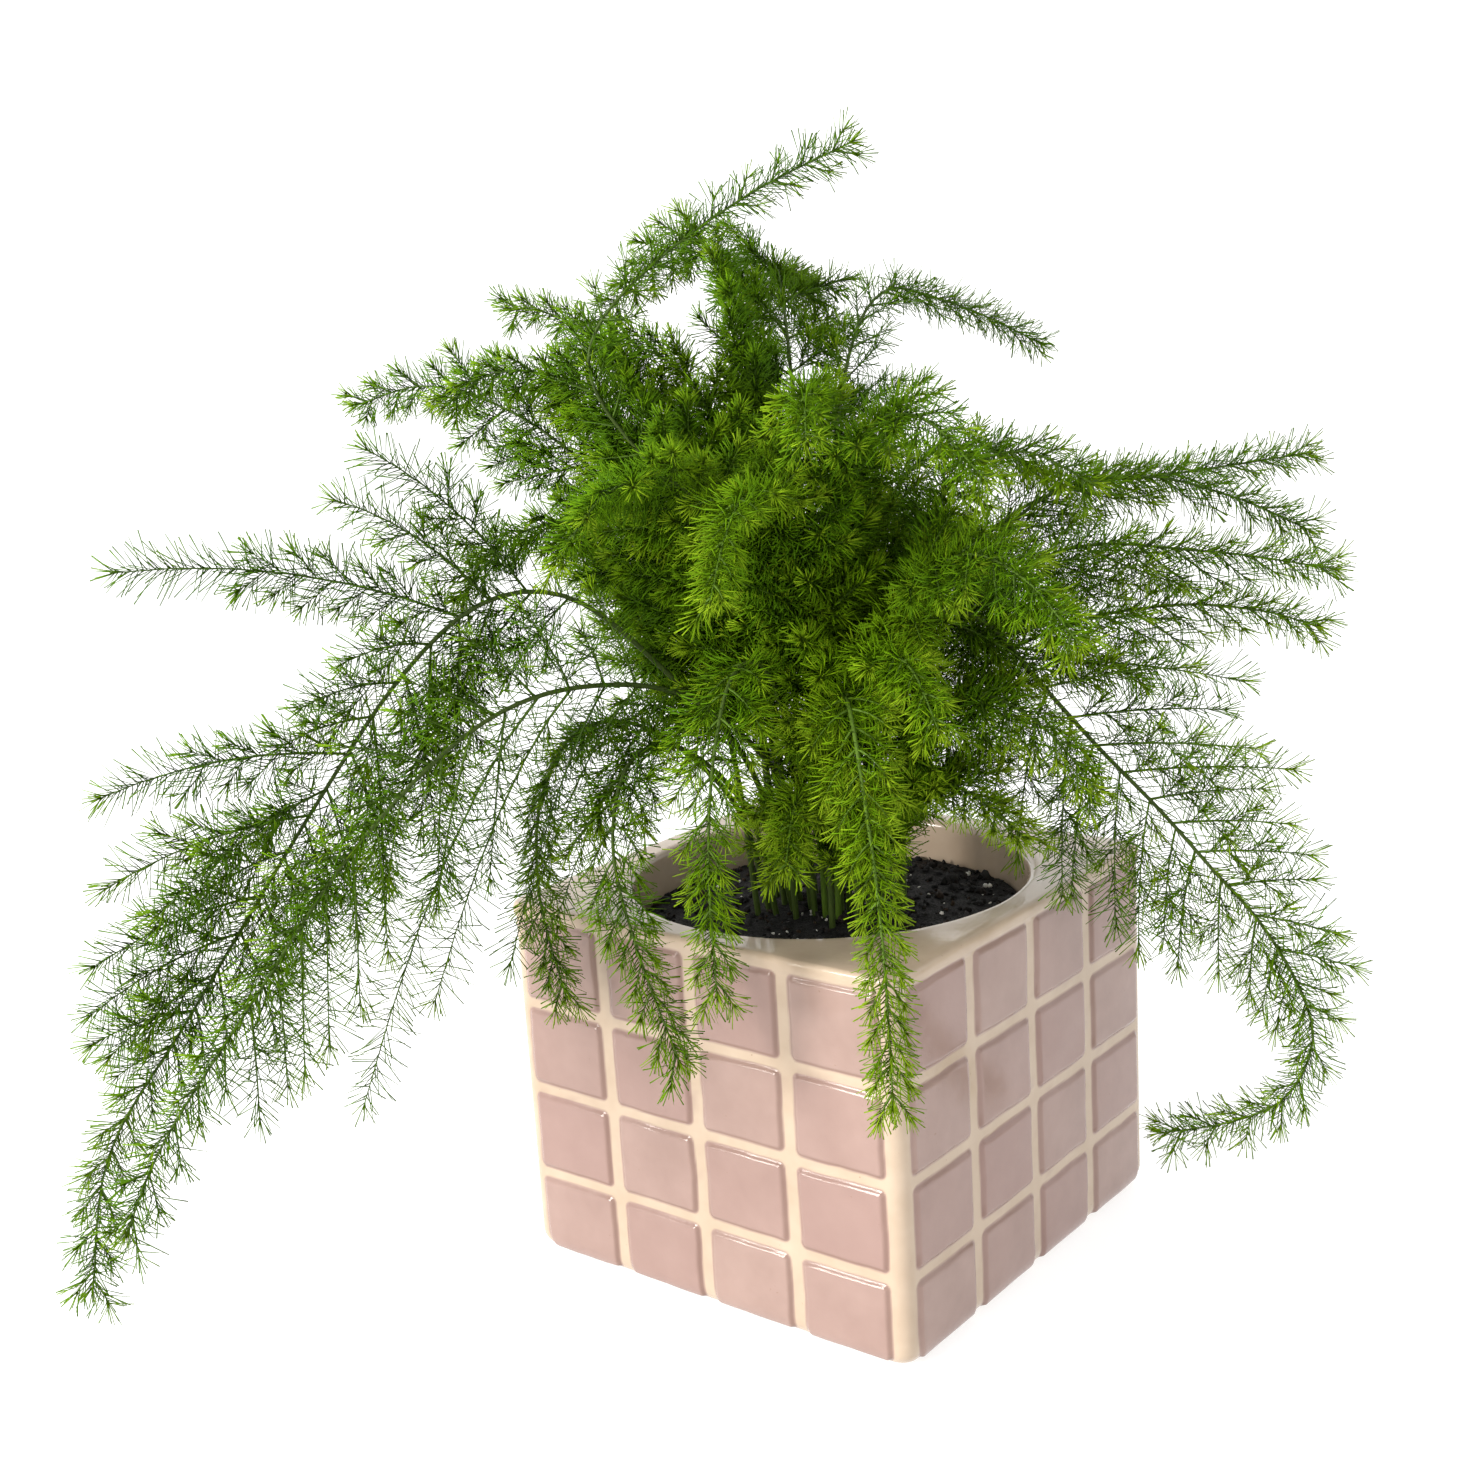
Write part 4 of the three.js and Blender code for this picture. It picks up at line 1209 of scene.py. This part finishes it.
def frond_shape(frond, index):
    shape = Shape()
    rng = np.random.default_rng(NUMPY_SEED + index)
    stem = stem_line(frond)
    add_stem(shape, frond, stem)
    youth, full, bare = frond["youth"], frond.get("full", 1.0), frond["bare"]
    tuft = 0.5 + bare / 2
    batch = needles_on(stem, tuft, youth + STEM["tuft_youth"], rng, STEM["tuft"])
    add_needles(shape, batch, 0.7, rng)
    batch = needles_on(stem.part(bare, tuft), 0, youth, rng, STEM["sparse"])
    add_needles(shape, batch, 0.5, rng)
    if "low" in frond:
        add_trunk_leaves(shape, frond, stem, rng)
    for line, plane in branches_of(frond, stem, GROWTH_SEED + index):
        add_branch(shape, line, plane, youth, rng, full)
    return shape


# Pieces


def add_piece(shape, name, node, materials):
    piece = shape.build(name, materials)
    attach(piece, "root")
    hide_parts(node)


def add_plant():
    foliage = [stem_material(), needle_material()]
    for index, frond in enumerate(FRONDS):
        name = frond["name"]
        add_piece(frond_shape(frond, index), name.replace("frond", "fine_frond"), name, foliage)


# Stage, lights and camera


def add_stage():
    """A pale floor that turns up into a round wall far behind the plant, on every side."""
    flat, curve = STAGE["rings"][-1], STAGE["curve"]
    profile = [(reach, 0) for reach in STAGE["rings"]]
    for turn in STAGE["curve_turns"]:
        profile.append((flat + curve * math.sin(turn), curve * (1 - math.cos(turn))))
    profile.append((flat + curve, STAGE["wall"]))
    cos, sin = round_places(STAGE["sides"])
    rings = [np.stack([reach * cos, reach * sin, np.full(len(cos), height - STAGE["below"])], -1)
             for reach, height in profile]
    points = np.concatenate([*rings, [[0, 0, -STAGE["below"]]]])
    start, end = round_rows(len(cos))
    middle = fan(start, end, len(points) - 1)
    shape = Shape()
    shape.add(points, np.concatenate([ring_faces(len(rings), len(cos))[:, ::-1], middle]),
              (0, 0, 0))
    floor = shape.build("floor", [floor_material()])


def add_light(name, place, size, power, colour):
    data = bpy.data.lights.new(name, "AREA")
    data.shape = "DISK"
    data.size = size
    data.energy = power
    data.color = colour
    light = bpy.data.objects.new(name, data)
    bpy.context.scene.collection.objects.link(light)
    light.location = place
    aim = Vector(LIGHT_AIM) - light.location
    light.rotation_euler = aim.to_track_quat("-Z", "Y").to_euler()
    light.visible_camera = False


def add_lights():
    for row in LIGHTS:
        add_light(**row)
    world = bpy.data.worlds.new("studio")
    world.use_nodes = True
    fix(world.node_tree.nodes["Background"], Color=(1, 1, 1, 1), Strength=WORLD_STRENGTH)
    bpy.context.scene.world = world
    bpy.context.scene.view_settings.view_transform = "Standard"


def add_camera():
    data = bpy.data.cameras.new("camera")
    data.sensor_width = CAMERA["sensor"]
    data.lens = CAMERA["sensor"] * CAMERA["focal"] / CAMERA["photo_side"]
    data.clip_start = 0.01
    azimuth, elevation, roll = (
        math.radians(CAMERA[name]) for name in ("azimuth", "elevation", "roll"))
    back = Vector((math.sin(azimuth) * math.cos(elevation),
                   -math.cos(azimuth) * math.cos(elevation), math.sin(elevation)))
    level = Vector((math.cos(azimuth), math.sin(azimuth), 0))
    right = level * math.cos(roll) - back.cross(level) * math.sin(roll)
    turn = Matrix((right, back.cross(right), back)).transposed().to_4x4()
    camera = bpy.data.objects.new("camera", data)
    camera.matrix_world = Matrix.Translation(Vector(CAMERA["place"]) * MM) @ turn
    bpy.context.scene.collection.objects.link(camera)
    bpy.context.scene.camera = camera


add_camera()
add_stage()
add_lights()
add_piece(pot_shape(), "tiled_pot", "pot", [glaze_material(), biscuit_material()])
add_piece(soil_shape(), "potting_mix", "soil", [soil_material(), perlite_material()])
add_plant()
